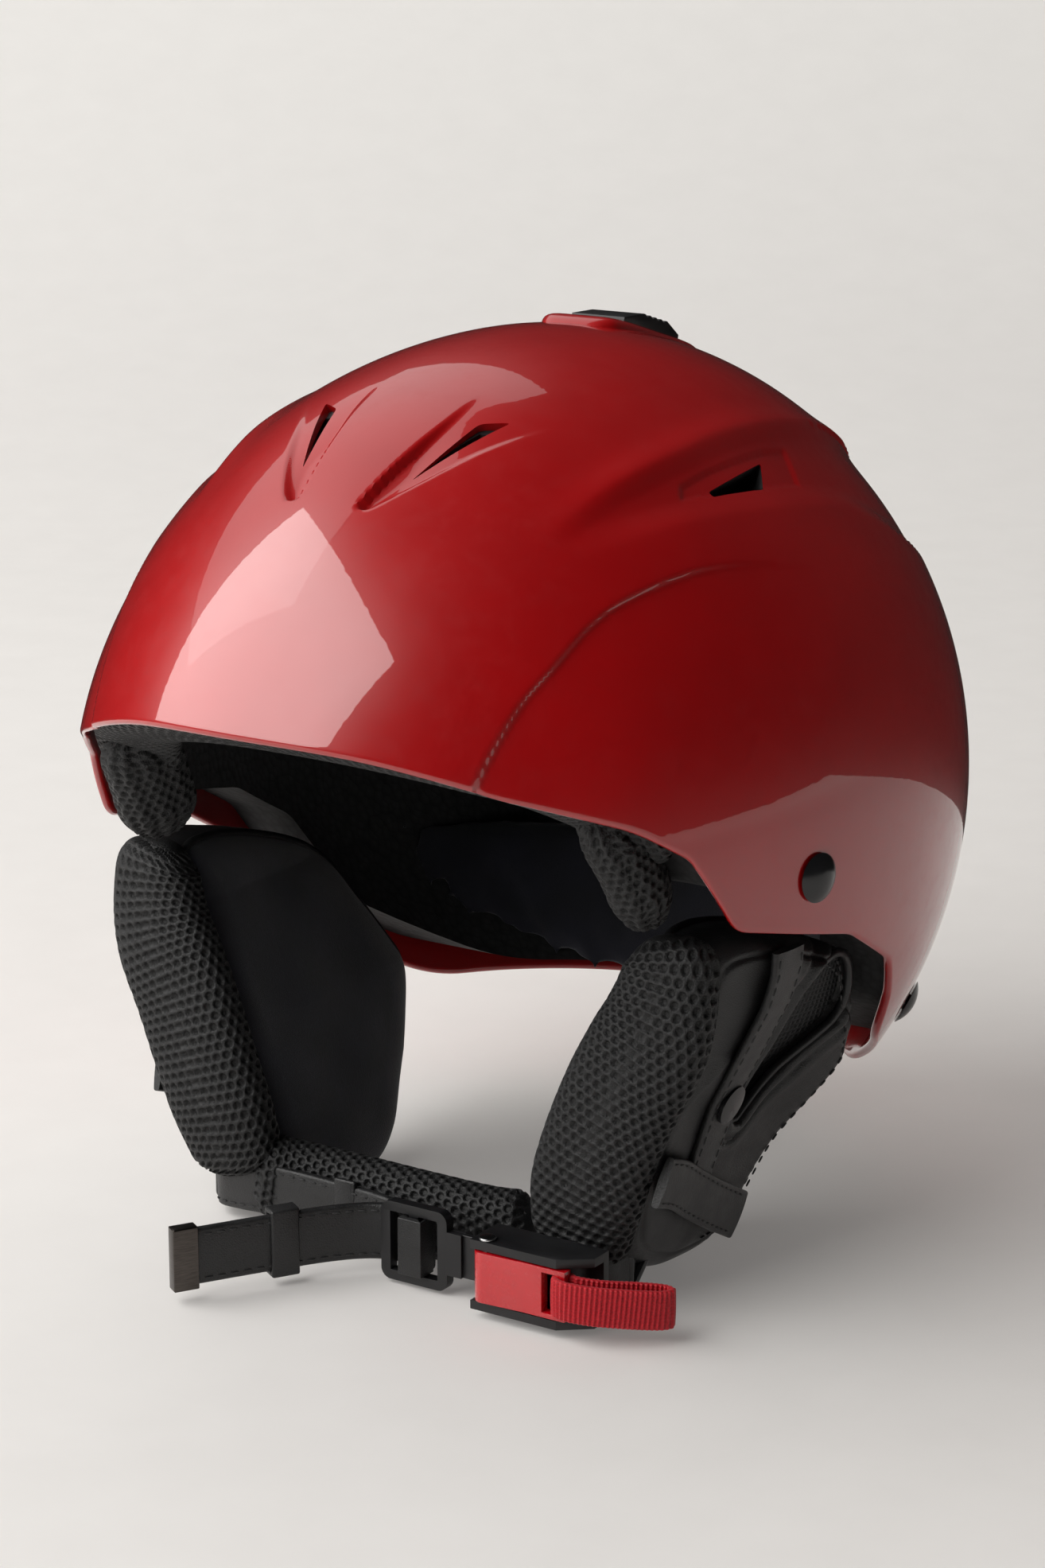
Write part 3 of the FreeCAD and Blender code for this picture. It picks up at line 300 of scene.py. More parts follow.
@dataclass(frozen=True)
class Moulded:
    """Injection-moulded plastic with a fine spark-eroded texture."""

    name: str
    colour: tuple[float, float, float] = (0.010, 0.010, 0.011)
    roughness: float = 0.36
    texture: float = 0.16

    def make(self) -> bpy.types.Material:
        """Builds the material.

        Returns:
            The new material.
        """
        kit = NodeKit(self.name)
        spark = kit.add("TexNoise", Scale=1.0, Detail=4.0, Roughness=0.7)
        kit.link(kit.position(2200), spark.inputs["Vector"])
        wear = kit.add("TexNoise", Scale=1.0, Detail=4.0)
        kit.link(kit.position(120), wear.inputs["Vector"])
        colour = kit.ramp(wear.outputs[0],
                          [(0.35, tinted(self.colour, 0.85)), (0.75, tinted(self.colour, 1.4))])
        kit.link(colour, kit.shader.inputs["Base Color"])
        kit.link(kit.bump(spark.outputs[0], self.texture, 0.0001), kit.shader.inputs["Normal"])
        spread = kit.add("MapRange", From_Min=0.3, From_Max=0.7, To_Min=self.roughness - 0.05)
        spread.inputs["To Max"].default_value = self.roughness + 0.08
        kit.link(wear.outputs[0], spread.inputs["Value"])
        kit.link(spread.outputs[0], kit.shader.inputs["Roughness"])
        return kit.material


@dataclass(frozen=True)
class Metal:
    """Brushed or plated metal."""

    name: str
    colour: tuple[float, float, float]
    roughness: float = 0.3

    def make(self) -> bpy.types.Material:
        """Builds the material.

        Returns:
            The new material.
        """
        kit = NodeKit(self.name)
        brush = kit.add("TexNoise", Scale=1.0, Detail=5.0)
        coords = kit.add("TexCoord")
        mapping = kit.add("Mapping")
        mapping.inputs["Scale"].default_value = (300, 300, 4200)
        kit.link(coords.outputs["Object"], mapping.inputs["Vector"])
        kit.link(mapping.outputs[0], brush.inputs["Vector"])
        colour = kit.ramp(brush.outputs[0],
                          [(0.3, tinted(self.colour, 0.75)), (0.7, tinted(self.colour, 1.15))])
        kit.link(colour, kit.shader.inputs["Base Color"])
        kit.link(kit.bump(brush.outputs[0], 0.15, 0.0001), kit.shader.inputs["Normal"])
        kit.set(Metallic=1.0, Roughness=self.roughness)
        return kit.material


@dataclass(frozen=True)
class Webbing:
    """Woven tape: the ribs are in the mesh, the yarn crossing them in the bump."""

    name: str
    colour: tuple[float, float, float]
    pitch: float = 0.0009

    def make(self) -> bpy.types.Material:
        """Builds the material.

        Returns:
            The new material.
        """
        kit = NodeKit(self.name)
        coords = kit.add("UVMap")
        mapping = kit.add("Mapping")
        mapping.inputs["Scale"].default_value = (1 / self.pitch, 1 / self.pitch, 1)
        kit.link(coords.outputs[0], mapping.inputs["Vector"])
        yarn = kit.add("TexWave", wave_type="BANDS", bands_direction="Y", Scale=0.32, Distortion=1.5)
        kit.link(mapping.outputs[0], yarn.inputs["Vector"])
        fuzz = kit.add("TexNoise", Scale=1.0, Detail=5.0, Roughness=0.7)
        kit.link(kit.position(2400), fuzz.inputs["Vector"])
        colour = kit.ramp(fuzz.outputs[0],
                          [(0.3, tinted(self.colour, 0.6)), (0.7, tinted(self.colour, 1.25))])
        kit.link(colour, kit.shader.inputs["Base Color"])
        threads = kit.bump(yarn.outputs[0], 0.4, 0.00015)
        kit.link(kit.bump(fuzz.outputs[0], 0.4, 0.00015, threads), kit.shader.inputs["Normal"])
        kit.set(Roughness=0.62, Sheen_Weight=0.15, Sheen_Roughness=0.4)
        return kit.material


@dataclass(frozen=True)
class BeadFoam:
    """Moulded bead foam with visible fused beads, each painted lighter in the middle and darker towards its
    edge as light and shade.
    """

    name: str
    colour: tuple[float, float, float] = (0.013, 0.013, 0.014)

    def make(self) -> bpy.types.Material:
        """Builds the material.

        Returns:
            The new material.
        """
        kit = NodeKit(self.name)
        beads = kit.add("TexVoronoi", feature="F1", Scale=1.0)
        kit.link(kit.position(420), beads.inputs["Vector"])
        # Painted light and shade: bead middles lighter, the gaps between beads darker.
        colour = kit.ramp(beads.outputs[0],
                          [(0.2, tinted(self.colour, 1.5)), (0.8, tinted(self.colour, 0.6))])
        kit.link(colour, kit.shader.inputs["Base Color"])
        kit.link(kit.bump(beads.outputs[0], 0.4, 0.0005), kit.shader.inputs["Normal"])
        kit.set(Roughness=0.75)
        return kit.material


@dataclass(frozen=True)
class Net:
    """Fine woven net over the ear opening, its gaps painted near black as the shade behind it."""

    name: str
    colour: tuple[float, float, float] = (0.016, 0.016, 0.017)
    pitch: float = 0.0016

    def make(self) -> bpy.types.Material:
        """Builds the material.

        Returns:
            The new material.
        """
        kit = NodeKit(self.name)
        coords = kit.add("TexCoord")
        waves = []
        for axis in ("Y", "Z"):
            wave = kit.add("TexWave", wave_type="BANDS", bands_direction=axis, Scale=0.314 / self.pitch)
            kit.link(coords.outputs["Object"], wave.inputs["Vector"])
            waves.append(wave)
        top = kit.add("Math", operation="MAXIMUM")
        kit.link(waves[0].outputs["Fac"], top.inputs[0])
        kit.link(waves[1].outputs["Fac"], top.inputs[1])
        # Painted shade: the gaps between the threads are coloured near black.
        colour = kit.ramp(top.outputs[0], [(0.55, (0.001, 0.001, 0.001)), (0.8, self.colour)])
        kit.link(colour, kit.shader.inputs["Base Color"])
        kit.link(kit.bump(top.outputs[0], 0.8, 0.0004), kit.shader.inputs["Normal"])
        kit.set(Roughness=0.6)
        return kit.material


@dataclass(frozen=True)
class Thread:
    """Twisted sewing or embroidery thread."""

    name: str
    colour: tuple[float, float, float]
    roughness: float = 0.5
    metallic: float = 0.0

    def make(self) -> bpy.types.Material:
        """Builds the material.

        Returns:
            The new material.
        """
        kit = NodeKit(self.name)
        twist = kit.add("TexNoise", Scale=1.0, Detail=3.0)
        kit.link(kit.position(3800), twist.inputs["Vector"])
        colour = kit.ramp(twist.outputs[0],
                          [(0.35, tinted(self.colour, 0.6)), (0.65, tinted(self.colour, 1.2))])
        kit.link(colour, kit.shader.inputs["Base Color"])
        kit.link(kit.bump(twist.outputs[0], 0.6, 0.0002), kit.shader.inputs["Normal"])
        kit.set(Roughness=self.roughness, Metallic=self.metallic)
        return kit.material


RED = (0.38, 0.0006, 0.002)


class Finish(Enum):
    """Every finish on the helmet, and the record's slot that it stands for."""

    SHELL = ("shell_gloss_red", GlossCoat("red_clearcoat", RED))
    LEVER = ("lever_red", GlossCoat("red_lever_gloss", (0.52, 0.002, 0.008), base_roughness=0.25, peel=0.06))
    WEB = ("tab_webbing", Webbing("red_ribbed_tape", (0.5, 0.003, 0.012)))
    LEATHER = ("black_leather", Leather("black_leather"))
    MESH = ("spacer_mesh", SpacerMesh("black_spacer_mesh"))
    VELOUR = ("liner_fabric", Velour("ink_velour"))
    PLASTIC = ("hardware_black", Moulded("black_moulded"))
    RIVET = ("rivet_black", Moulded("black_lacquered", roughness=0.2, texture=0.05))
    STEEL = ("washer_steel", Metal("bright_steel", (0.62, 0.62, 0.63), roughness=0.22))
    GUNMETAL = ("cap_gunmetal", Metal("dark_plate", (0.085, 0.075, 0.068), roughness=0.28))
    FOAM = ("impact_foam", BeadFoam("black_bead_foam"))
    NET = ("grille_net", Net("black_net"))
    STITCH = ("black_leather", Thread("black_thread", (0.02, 0.02, 0.021)))
    GOLD = ("liner_fabric", Thread("gold_thread", (0.42, 0.28, 0.09), roughness=0.42, metallic=0.25))

    @property
    def slot(self) -> str:
        """The record's material slot."""
        return self.value[0]


class Paintbox:
    """Makes each finish's material once and hands it out."""

    def __init__(self) -> None:
        """Starts with no material made."""
        self._made: dict[Finish, bpy.types.Material] = {}

    def get(self, finish: Finish) -> bpy.types.Material:
        """The material of a finish, made when first asked for."""
        if finish not in self._made:
            self._made[finish] = finish.value[1].make()
        return self._made[finish]


PAINTS = Paintbox()


# ---------------------------------------------------------------- mesh tools
def smoothstep(value: np.ndarray) -> np.ndarray:
    """Smooth rise from 0 at 0 to 1 at 1."""
    held = np.clip(value, 0.0, 1.0)
    return held * held * (3 - 2 * held)


def unit(vectors: np.ndarray) -> np.ndarray:
    """The same vectors at length 1."""
    length = np.linalg.norm(vectors, axis=-1, keepdims=True)
    return vectors / np.maximum(length, 1e-12)


def smooth_path(points: Sequence[Sequence[float]], count: int, closed: bool = False) -> np.ndarray:
    """A rounded path through given points, evenly spaced along its length.

    Args:
        points: The points to pass through.
        count: How many points the path gets.
        closed: Whether the path joins its own start.

    Returns:
        An array of count points.
    """
    given = np.array(points, float)
    if closed:
        padded = np.vstack([given[-1:], given, given[:2]])
    else:
        padded = np.vstack([2 * given[0] - given[1], given, 2 * given[-1] - given[-2]])
    dense = []
    for i in range(1, len(padded) - 2):
        p0, p1, p2, p3 = padded[i - 1: i + 3]
        t = np.linspace(0, 1, 24, endpoint=False)[:, None]
        dense.append(0.5 * (2 * p1 + (p2 - p0) * t + (2 * p0 - 5 * p1 + 4 * p2 - p3) * t ** 2
                            + (3 * p1 - p0 - 3 * p2 + p3) * t ** 3))
    dense.append(padded[-2][None])
    line = np.vstack(dense)
    run = np.concatenate([[0], np.cumsum(np.linalg.norm(np.diff(line, axis=0), axis=1))])
    wanted = np.linspace(0, run[-1], count, endpoint=not closed)
    return np.stack([np.interp(wanted, run, line[:, k]) for k in range(line.shape[1])], axis=1)


def finish_object(name: str, mesh: bpy.types.Mesh, body: str, finish: Finish,
                  sharp: float = 40.0) -> bpy.types.Object:
    """Links a mesh as a piece, with its finish, smooth shading and body.

    Args:
        name: The piece's name.
        mesh: Its mesh, in metres.
        body: The body that it rides on.
        finish: Its finish.
        sharp: Edges that turn more than this many degrees stay crisp.

    Returns:
        The new object.
    """
    piece = bpy.data.objects.new(name, mesh)
    bpy.context.scene.collection.objects.link(piece)
    mesh.materials.clear()
    mesh.materials.append(PAINTS.get(finish))
    mesh.shade_smooth()
    mesh.set_sharp_from_angle(angle=math.radians(sharp))
    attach(piece, body)
    log.info("%s: %d faces on %s", name, len(mesh.polygons), body)
    return piece


def mesh_of(name: str, points: np.ndarray, faces: Iterable[Sequence[int]]) -> bpy.types.Mesh:
    """A mesh from points in millimetres."""
    mesh = bpy.data.meshes.new(name)
    mesh.from_pydata((np.asarray(points) * MM).tolist(), [], list(faces))
    mesh.validate()
    mesh.update()
    return mesh


def grid_faces(rows: int, columns: int, wrap: bool, start: int = 0) -> list[tuple[int, ...]]:
    """Quads of a grid of points stored row by row.

    Args:
        rows: Number of rows.
        columns: Points in each row.
        wrap: Whether each row closes on itself.
        start: Index of the first point.

    Returns:
        The list of quads.
    """
    faces = []
    last = columns if wrap else columns - 1
    for row in range(rows - 1):
        base = start + row * columns
        for column in range(last):
            after = (column + 1) % columns
            faces.append((base + column, base + after, base + columns + after, base + columns + column))
    return faces


def outward(mesh: bpy.types.Mesh) -> None:
    """Turns a closed mesh's faces outwards."""
    work = bmesh.new()
    work.from_mesh(mesh)
    bmesh.ops.recalc_face_normals(work, faces=work.faces)
    work.to_mesh(mesh)
    work.free()


def hole_pattern(u: np.ndarray, v: np.ndarray, pitch: float, radius: float) -> np.ndarray:
    """Mask of staggered round holes, 1 at the middle of each and 0 between them.

    Args:
        u: First surface coordinate in millimetres.
        v: Second surface coordinate in millimetres.
        pitch: Distance between neighbouring holes.
        radius: Radius of a hole.

    Returns:
        The mask, of the same shape as u.
    """
    row_gap = pitch * math.sqrt(3)
    best = np.full(u.shape, 1e9)
    for shift in (0.0, 0.5):
        du = (u / pitch + shift) - np.round(u / pitch + shift)
        dv = (v / row_gap + shift) - np.round(v / row_gap + shift)
        best = np.minimum(best, np.hypot(du * pitch, dv * row_gap))
    return smoothstep((radius - best) / (0.45 * radius) + 0.5)


def copy_of_node(node: str) -> bpy.types.Mesh:
    """A welded copy of a CAD node's mesh."""
    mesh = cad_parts[node].data.copy()
    mesh.name = node + "_copy"
    work = bmesh.new()
    work.from_mesh(mesh)
    bmesh.ops.remove_doubles(work, verts=work.verts, dist=2e-6)
    work.to_mesh(mesh)
    work.free()
    return mesh


def apply_modifiers(piece: bpy.types.Object) -> None:
    """Bakes a piece's modifiers into its mesh."""
    graph = bpy.context.evaluated_depsgraph_get()
    done = bpy.data.meshes.new_from_object(piece.evaluated_get(graph))
    piece.modifiers.clear()
    piece.data = done


def softened(node: str, body: str, finish: Finish, radius: float, name: str = "") -> bpy.types.Object:
    """A CAD piece with its hard edges rounded, which stands for the node.

    Args:
        node: The CAD node.
        body: The body that it rides on.
        finish: Its finish.
        radius: Radius of the rounded edges in millimetres.
        name: The piece's name, if it isn't the node's.

    Returns:
        The rounded piece.
    """
    mesh = copy_of_node(node)
    work = bmesh.new()
    work.from_mesh(mesh)
    bmesh.ops.dissolve_limit(work, angle_limit=math.radians(0.5), verts=work.verts, edges=work.edges)
    work.to_mesh(mesh)
    work.free()
    piece = bpy.data.objects.new(name or node + "_soft", mesh)
    bpy.context.scene.collection.objects.link(piece)
    bevel = piece.modifiers.new("round", "BEVEL")
    bevel.width = radius * MM
    bevel.segments = 3
    bevel.limit_method = "ANGLE"
    bevel.angle_limit = math.radians(32)
    bevel.use_clamp_overlap = True
    bevel.harden_normals = False
    apply_modifiers(piece)
    piece.data.materials.clear()
    piece.data.materials.append(PAINTS.get(finish))
    piece.data.shade_smooth()
    piece.data.set_sharp_from_angle(angle=math.radians(35))
    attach(piece, body)
    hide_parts(node)
    log.info("%s rounded by %.1f mm", piece.name, radius)
    return piece


def dress_node(node: str, finish: Finish) -> None:
    """Gives a CAD node that stays in view its finish."""
    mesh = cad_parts[node].data
    mesh.materials.clear()
    mesh.materials.append(PAINTS.get(finish))


def inflated(node: str, body: str, finish: Finish, name: str, cap: float, voxel: float = 3.5,
             pressure: float = 4.0, shrink: float = 0.8) -> bpy.types.Object:
    """A stuffed piece: the CAD solid remeshed, swelled as cloth and subdivided.

    Args:
        node: The CAD node that it stands for.
        body: The body that it rides on.
        finish: Its finish.
        name: The piece's name.
        cap: How far a point may move, in millimetres.
        voxel: Size of the remesh in millimetres.
        pressure: Cloth pressure.
        shrink: How far the start shape lies inside the solid, in millimetres.

    Returns:
        The swelled piece.
    """
    mesh = copy_of_node(node)
    piece = bpy.data.objects.new(name, mesh)
    bpy.context.scene.collection.objects.link(piece)
    remesh = piece.modifiers.new("remesh", "REMESH")
    remesh.mode = "VOXEL"
    remesh.voxel_size = voxel * MM
    smooth = piece.modifiers.new("smooth", "SMOOTH")
    smooth.iterations = 6
    apply_modifiers(piece)
    start = np.array([v.co for v in piece.data.vertices])
    normals = np.array([v.normal for v in piece.data.vertices])
    start = start - normals * shrink * MM
    piece.data.vertices.foreach_set("co", start.ravel())
    cloth = piece.modifiers.new("cloth", "CLOTH")
    cloth.settings.use_pressure = True
    cloth.settings.uniform_pressure_force = pressure
    cloth.settings.tension_stiffness = 20
    cloth.settings.bending_stiffness = 0.8
    cloth.settings.effector_weights.gravity = 0
    scene = bpy.context.scene
    for step in range(1, 21):
        scene.frame_set(step)
    apply_modifiers(piece)
    scene.frame_set(1)
    moved = np.array([v.co for v in piece.data.vertices]) - start
    length = np.linalg.norm(moved, axis=1, keepdims=True)
    limit = cap * MM
    moved = moved * np.minimum(1.0, limit / np.maximum(length, 1e-9))
    piece.data.vertices.foreach_set("co", (start + moved).ravel())
    finer = piece.modifiers.new("finer", "SUBSURF")
    finer.levels = 1
    finer.render_levels = 1
    apply_modifiers(piece)
    mesh = piece.data
    mesh.materials.clear()
    mesh.materials.append(PAINTS.get(finish))
    mesh.shade_smooth()
    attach(piece, body)
    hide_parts(node)
    log.info("%s: stuffed, %d faces", name, len(mesh.polygons))
    return piece


@dataclass
class Roll:
    """A soft roll: a closed oval section carried along a path, with rounded ends and optional holes."""

    name: str
    centres: np.ndarray
    wide: np.ndarray
    half_wide: np.ndarray
    half_thick: np.ndarray
    power: float = 2.6
    around: int = 72
    pitch: float = 0.0
    hole: float = 1.25
    sink: float = 1.1
    end_round: float = 9.0
    gathers: float = 0.0

    def mesh(self) -> bpy.types.Mesh:
        """Builds the roll's mesh.

        Returns:
            The closed mesh in metres, with a hole mask.
        """
        count = len(self.centres)
        along = unit(np.gradient(self.centres, axis=0))
        wide = unit(self.wide - along * np.sum(self.wide * along, axis=1, keepdims=True))
        thick = np.cross(along, wide)
        step = np.linalg.norm(np.diff(self.centres, axis=0), axis=1)
        run = np.concatenate([[0], np.cumsum(step)])
        edge = np.minimum(run, run[-1] - run) / self.end_round
        taper = np.sqrt(np.clip(1 - (1 - np.clip(edge, 0, 1)) ** 2, 0.0009, 1))
        angle = np.linspace(0, 2 * math.pi, self.around, endpoint=False)
        cosine, sine = np.cos(angle), np.sin(angle)
        shape_c = np.sign(cosine) * np.abs(cosine) ** (2 / self.power)
        shape_s = np.sign(sine) * np.abs(sine) ** (2 / self.power)
        a = (self.half_wide * taper)[:, None]
        b = (self.half_thick * taper)[:, None]
        offset = wide[:, None, :] * (a * shape_c)[..., None] + thick[:, None, :] * (b * shape_s)[..., None]
        points = self.centres[:, None, :] + offset
        ring = np.stack([a * shape_c, b * shape_s], axis=-1)
        chord = np.linalg.norm(np.diff(ring, axis=1, append=ring[:, :1]), axis=-1)
        turn = np.concatenate([np.zeros((count, 1)), np.cumsum(chord, axis=1)[:, :-1]], axis=1)
        rows = np.repeat(run[:, None], self.around, axis=1)
        normal = unit(wide[:, None,
                           :] * (shape_c * np.abs(shape_c) ** (self.power - 2) / np.maximum(a, 0.1))[...,
                                                                                                     None]
                      + thick[:, None,
                              :] * (shape_s * np.abs(shape_s) ** (self.power - 2) / np.maximum(b, 0.1))[...,
                                                                                                        None])
        mask = np.zeros((count, self.around))
        if self.pitch:
            centred = turn - turn[:, self.around // 4][:, None]
            mask = hole_pattern(centred, rows, self.pitch, self.hole) * (taper > 0.55)[:, None]
            points = points - normal * (mask * self.sink)[..., None]
        if self.gathers:
            fade = np.clip(1 - np.minimum(run, run[-1] - run) / (self.end_round * 2.5), 0, 1)[:, None]
            pleat = np.sin(angle * 11)[None, :] * self.gathers * fade
            points = points + normal * pleat[..., None]
        faces = grid_faces(count, self.around, True)
        faces.append(tuple(range(self.around)))
        faces.append(tuple((count - 1) * self.around + i for i in range(self.around)))
        mesh = mesh_of(self.name, points.reshape(-1, 3), faces)
        layer = mesh.attributes.new("hole", "FLOAT", "POINT")
        layer.data.foreach_set("value", mask.ravel().astype(np.float32))
        outward(mesh)
        return mesh


@dataclass
class Strap:
    """A flat strap along a path, with softly rounded edges and sewn lines along both borders."""

    name: str
    path: np.ndarray
    upright: np.ndarray
    width: float
    thickness: float
    edge: float = 0.8
    rib: float = 0.0
    rib_pitch: float = 1.1
    crown: float = 0.25
    closed: bool = False

    def frames(self) -> tuple[np.ndarray, np.ndarray, np.ndarray]:
        """Directions along, across and out of the strap at each path point.

        Returns:
            Three arrays of unit vectors.
        """
        if self.closed:
            step = np.roll(self.path, -1, axis=0) - np.roll(self.path, 1, axis=0)
        else:
            step = np.gradient(self.path, axis=0)
        along = unit(step)
        up = unit(self.upright - along * np.sum(self.upright * along, axis=1, keepdims=True))
        return along, up, np.cross(along, up)

    def mesh(self) -> bpy.types.Mesh:
        """Builds the strap's mesh.

        Returns:
            The closed mesh with a flat map in metres.
        """
        _, up, out = self.frames()
        half, thin = self.width / 2, self.thickness / 2
        corner = [(math.cos(t), math.sin(t)) for t in np.linspace(0, math.pi / 2, 4)]
        flat = np.linspace(-1, 1, 9)[1:-1]
        inner = half - self.edge
        soft = min(self.edge, thin * 0.95)
        section = [(inner + self.edge * c, thin - soft + soft * s) for c, s in corner]
        section += [(inner * -t, thin + self.crown * (1 - t * t)) for t in flat]
        section += [(-inner - self.edge * s, thin - soft + soft * c) for c, s in corner]
        section += [(-inner - self.edge * c, -thin + soft - soft * s) for c, s in corner]
        section += [(inner * t, -thin - self.crown * (1 - t * t)) for t in flat]
        section += [(inner + self.edge * s, -thin + soft - soft * c) for c, s in corner]
        shape = np.array(section)
        count = len(self.path)
        step = np.linalg.norm(np.diff(self.path, axis=0), axis=1)
        run = np.concatenate([[0], np.cumsum(step)])
        ribs = np.sin(2 * math.pi * run / self.rib_pitch) if self.rib else np.zeros(count)
        swell = 1 + (self.rib / thin) * ribs
        points = (self.path[:, None, :] + up[:, None, :] * shape[None, :, 0, None]
                  + out[:, None, :] * (shape[None, :, 1] * swell[:, None])[..., None])
        around = len(shape)
        faces = grid_faces(count, around, True)
        if self.closed:
            faces += [((count - 1) * around + i, (count - 1) * around + (i + 1) % around, (i + 1) % around, i)
                      for i in range(around)]
        else:
            faces.append(tuple(range(around)))
            faces.append(tuple((count - 1) * around + i for i in range(around)))
        mesh = mesh_of(self.name, points.reshape(-1, 3), faces)
        outward(mesh)
        chart = mesh.uv_layers.new(name="tape")
        loops = np.zeros(len(mesh.loops), np.int64)
        mesh.loops.foreach_get("vertex_index", loops)
        flat_map = np.stack([np.repeat(run, around), np.tile(shape[:, 0], count)], axis=1) * MM
        chart.data.foreach_set("uv", flat_map[loops].ravel())
        return mesh

    def seam(self, inset: float, outer: bool = True, length: float = 2.3, gap: float = 1.3,
             radius: float = 0.3) -> list[tuple[np.ndarray, np.ndarray, np.ndarray, float, float]]:
        """Stitches along both borders.

        Args:
            inset: Distance of the seam from the edge.
            outer: Which face they show on.
            length: Length of one stitch.
            gap: Gap between stitches.
            radius: Thread radius.

        Returns:
            For each stitch its middle, its direction, its outward direction, length and radius.
        """
        along, up, out = self.frames()
        step = np.linalg.norm(np.diff(self.path, axis=0), axis=1)
        run = np.concatenate([[0], np.cumsum(step)])
        places = np.arange(3.0, run[-1] - 3.0, length + gap)
        found = []
        for side in (-1, 1):
            for place in places:
                sample = [np.array([np.interp(place, run, track[:, k]) for k in range(3)])
                          for track in (self.path, along, up, out)]
                sign = 1 if outer else -1
                across = sample[2] * side * (self.width / 2 - inset)
                middle = sample[0] + across + sample[3] * sign * (self.thickness / 2 + 0.12)
                found.append((middle, sample[1], sample[3] * sign, length, radius))
        return found


def stitch_mesh(name: str, stitches: Sequence[tuple]) -> bpy.types.Mesh:
    """Small rounded threads laid on a surface.

    Args:
        name: The mesh's name.
        stitches: Middle, direction, outward direction, length and radius of each.

    Returns:
        One mesh of them all.
    """
    points, faces = [], []
    sides = 6
    profile = [(-0.5, 0.15), (-0.42, 0.75), (-0.2, 1.0), (0.2, 1.0), (0.42, 0.75), (0.5, 0.15)]
    for middle, way, out, length, radius in stitches:
        way = unit(np.asarray(way, float))
        out = unit(np.asarray(out, float) - way * np.dot(out, way))
        across = np.cross(way, out)
        base = len(points)
        for place, fat in profile:
            for k in range(sides):
                turn = 2 * math.pi * k / sides
                spoke = across * math.cos(turn) + out * math.sin(turn)
                points.append(middle + way * place * length + spoke * radius * fat)
        faces += grid_faces(len(profile), sides, True, base)
        faces.append(tuple(base + k for k in range(sides)))
        faces.append(tuple(base + (len(profile) - 1) * sides + k for k in range(sides)))
    mesh = mesh_of(name, np.array(points), faces)
    outward(mesh)
    return mesh


def tube_mesh(name: str, path: np.ndarray, radius: float, sides: int = 10,
              closed: bool = False) -> bpy.types.Mesh:
    """A round cord along a path, such as piping.

    Args:
        name: The mesh's name.
        path: Its centre line in millimetres.
        radius: Its radius.
        sides: Points round the section.
        closed: Whether it joins its own start.

    Returns:
        The closed mesh.
    """
    step = np.roll(path, -1, axis=0) - np.roll(path, 1, axis=0) if closed else np.gradient(path, axis=0)
    along = unit(step)
    helper = np.array([0.31, 0.12, 0.94])
    first = unit(np.cross(along, helper))
    second = np.cross(along, first)
    turn = np.linspace(0, 2 * math.pi, sides, endpoint=False)
    wide = first[:, None, :] * np.cos(turn)[None, :, None]
    deep = second[:, None, :] * np.sin(turn)[None, :, None]
    points = path[:, None, :] + radius * (wide + deep)
    count = len(path)
    faces = grid_faces(count, sides, True)
    if closed:
        faces += [((count - 1) * sides + i, (count - 1) * sides + (i + 1) % sides, (i + 1) % sides,
                   i) for i in range(sides)]
    else:
        faces.append(tuple(range(sides)))
        faces.append(tuple((count - 1) * sides + i for i in range(sides)))
    mesh = mesh_of(name, points.reshape(-1, 3), faces)
    outward(mesh)
    return mesh


# ---------------------------------------------------------------- the shell
@dataclass(frozen=True)
class Egg:
    """The shell's form: two half ellipsoids on one middle section, in millimetres."""

    half_width: float = 113.0
    front: float = 152.0
    rear: float = 127.0
    half_height: float = 124.0
    middle_y: float = 12.0
    middle_z: float = 119.5

    def point(self, turn: np.ndarray, rise: np.ndarray, inset: float = 0.0) -> np.ndarray:
        """Points at a turn round the upright axis and a rise from the level.

        Args:
            turn: Angle from the wearer's left towards the back, in radians.
            rise: Angle above the widest level, in radians.
            inset: Distance inside the outer surface.

        Returns:
            The points.
        """
        length = np.where(np.sin(turn) < 0, self.front, self.rear) - inset
        x = (self.half_width - inset) * np.cos(rise) * np.cos(turn)
        y = self.middle_y + length * np.cos(rise) * np.sin(turn)
        z = self.middle_z + (self.half_height - inset) * np.sin(rise)
        return np.stack([x, y, z], axis=-1)

    def normal(self, points: np.ndarray) -> np.ndarray:
        """Outward directions at points on or near the surface."""
        length = np.where(points[..., 1] < self.middle_y, self.front, self.rear)
        slope = np.stack([points[..., 0] / self.half_width ** 2,
                          (points[..., 1] - self.middle_y) / length ** 2,
                          (points[..., 2] - self.middle_z) / self.half_height ** 2], axis=-1)
        return unit(slope)

    def half_width_at(self, y: float, z: float, inset: float = 0.0) -> float:
        """Distance from the middle plane to the side at a place in the side view."""
        length = (self.front if y < self.middle_y else self.rear) - inset
        along = (y - self.middle_y) / length
        up = (z - self.middle_z) / (self.half_height - inset)
        return (self.half_width - inset) * math.sqrt(max(0.0, 1 - along * along - up * up))


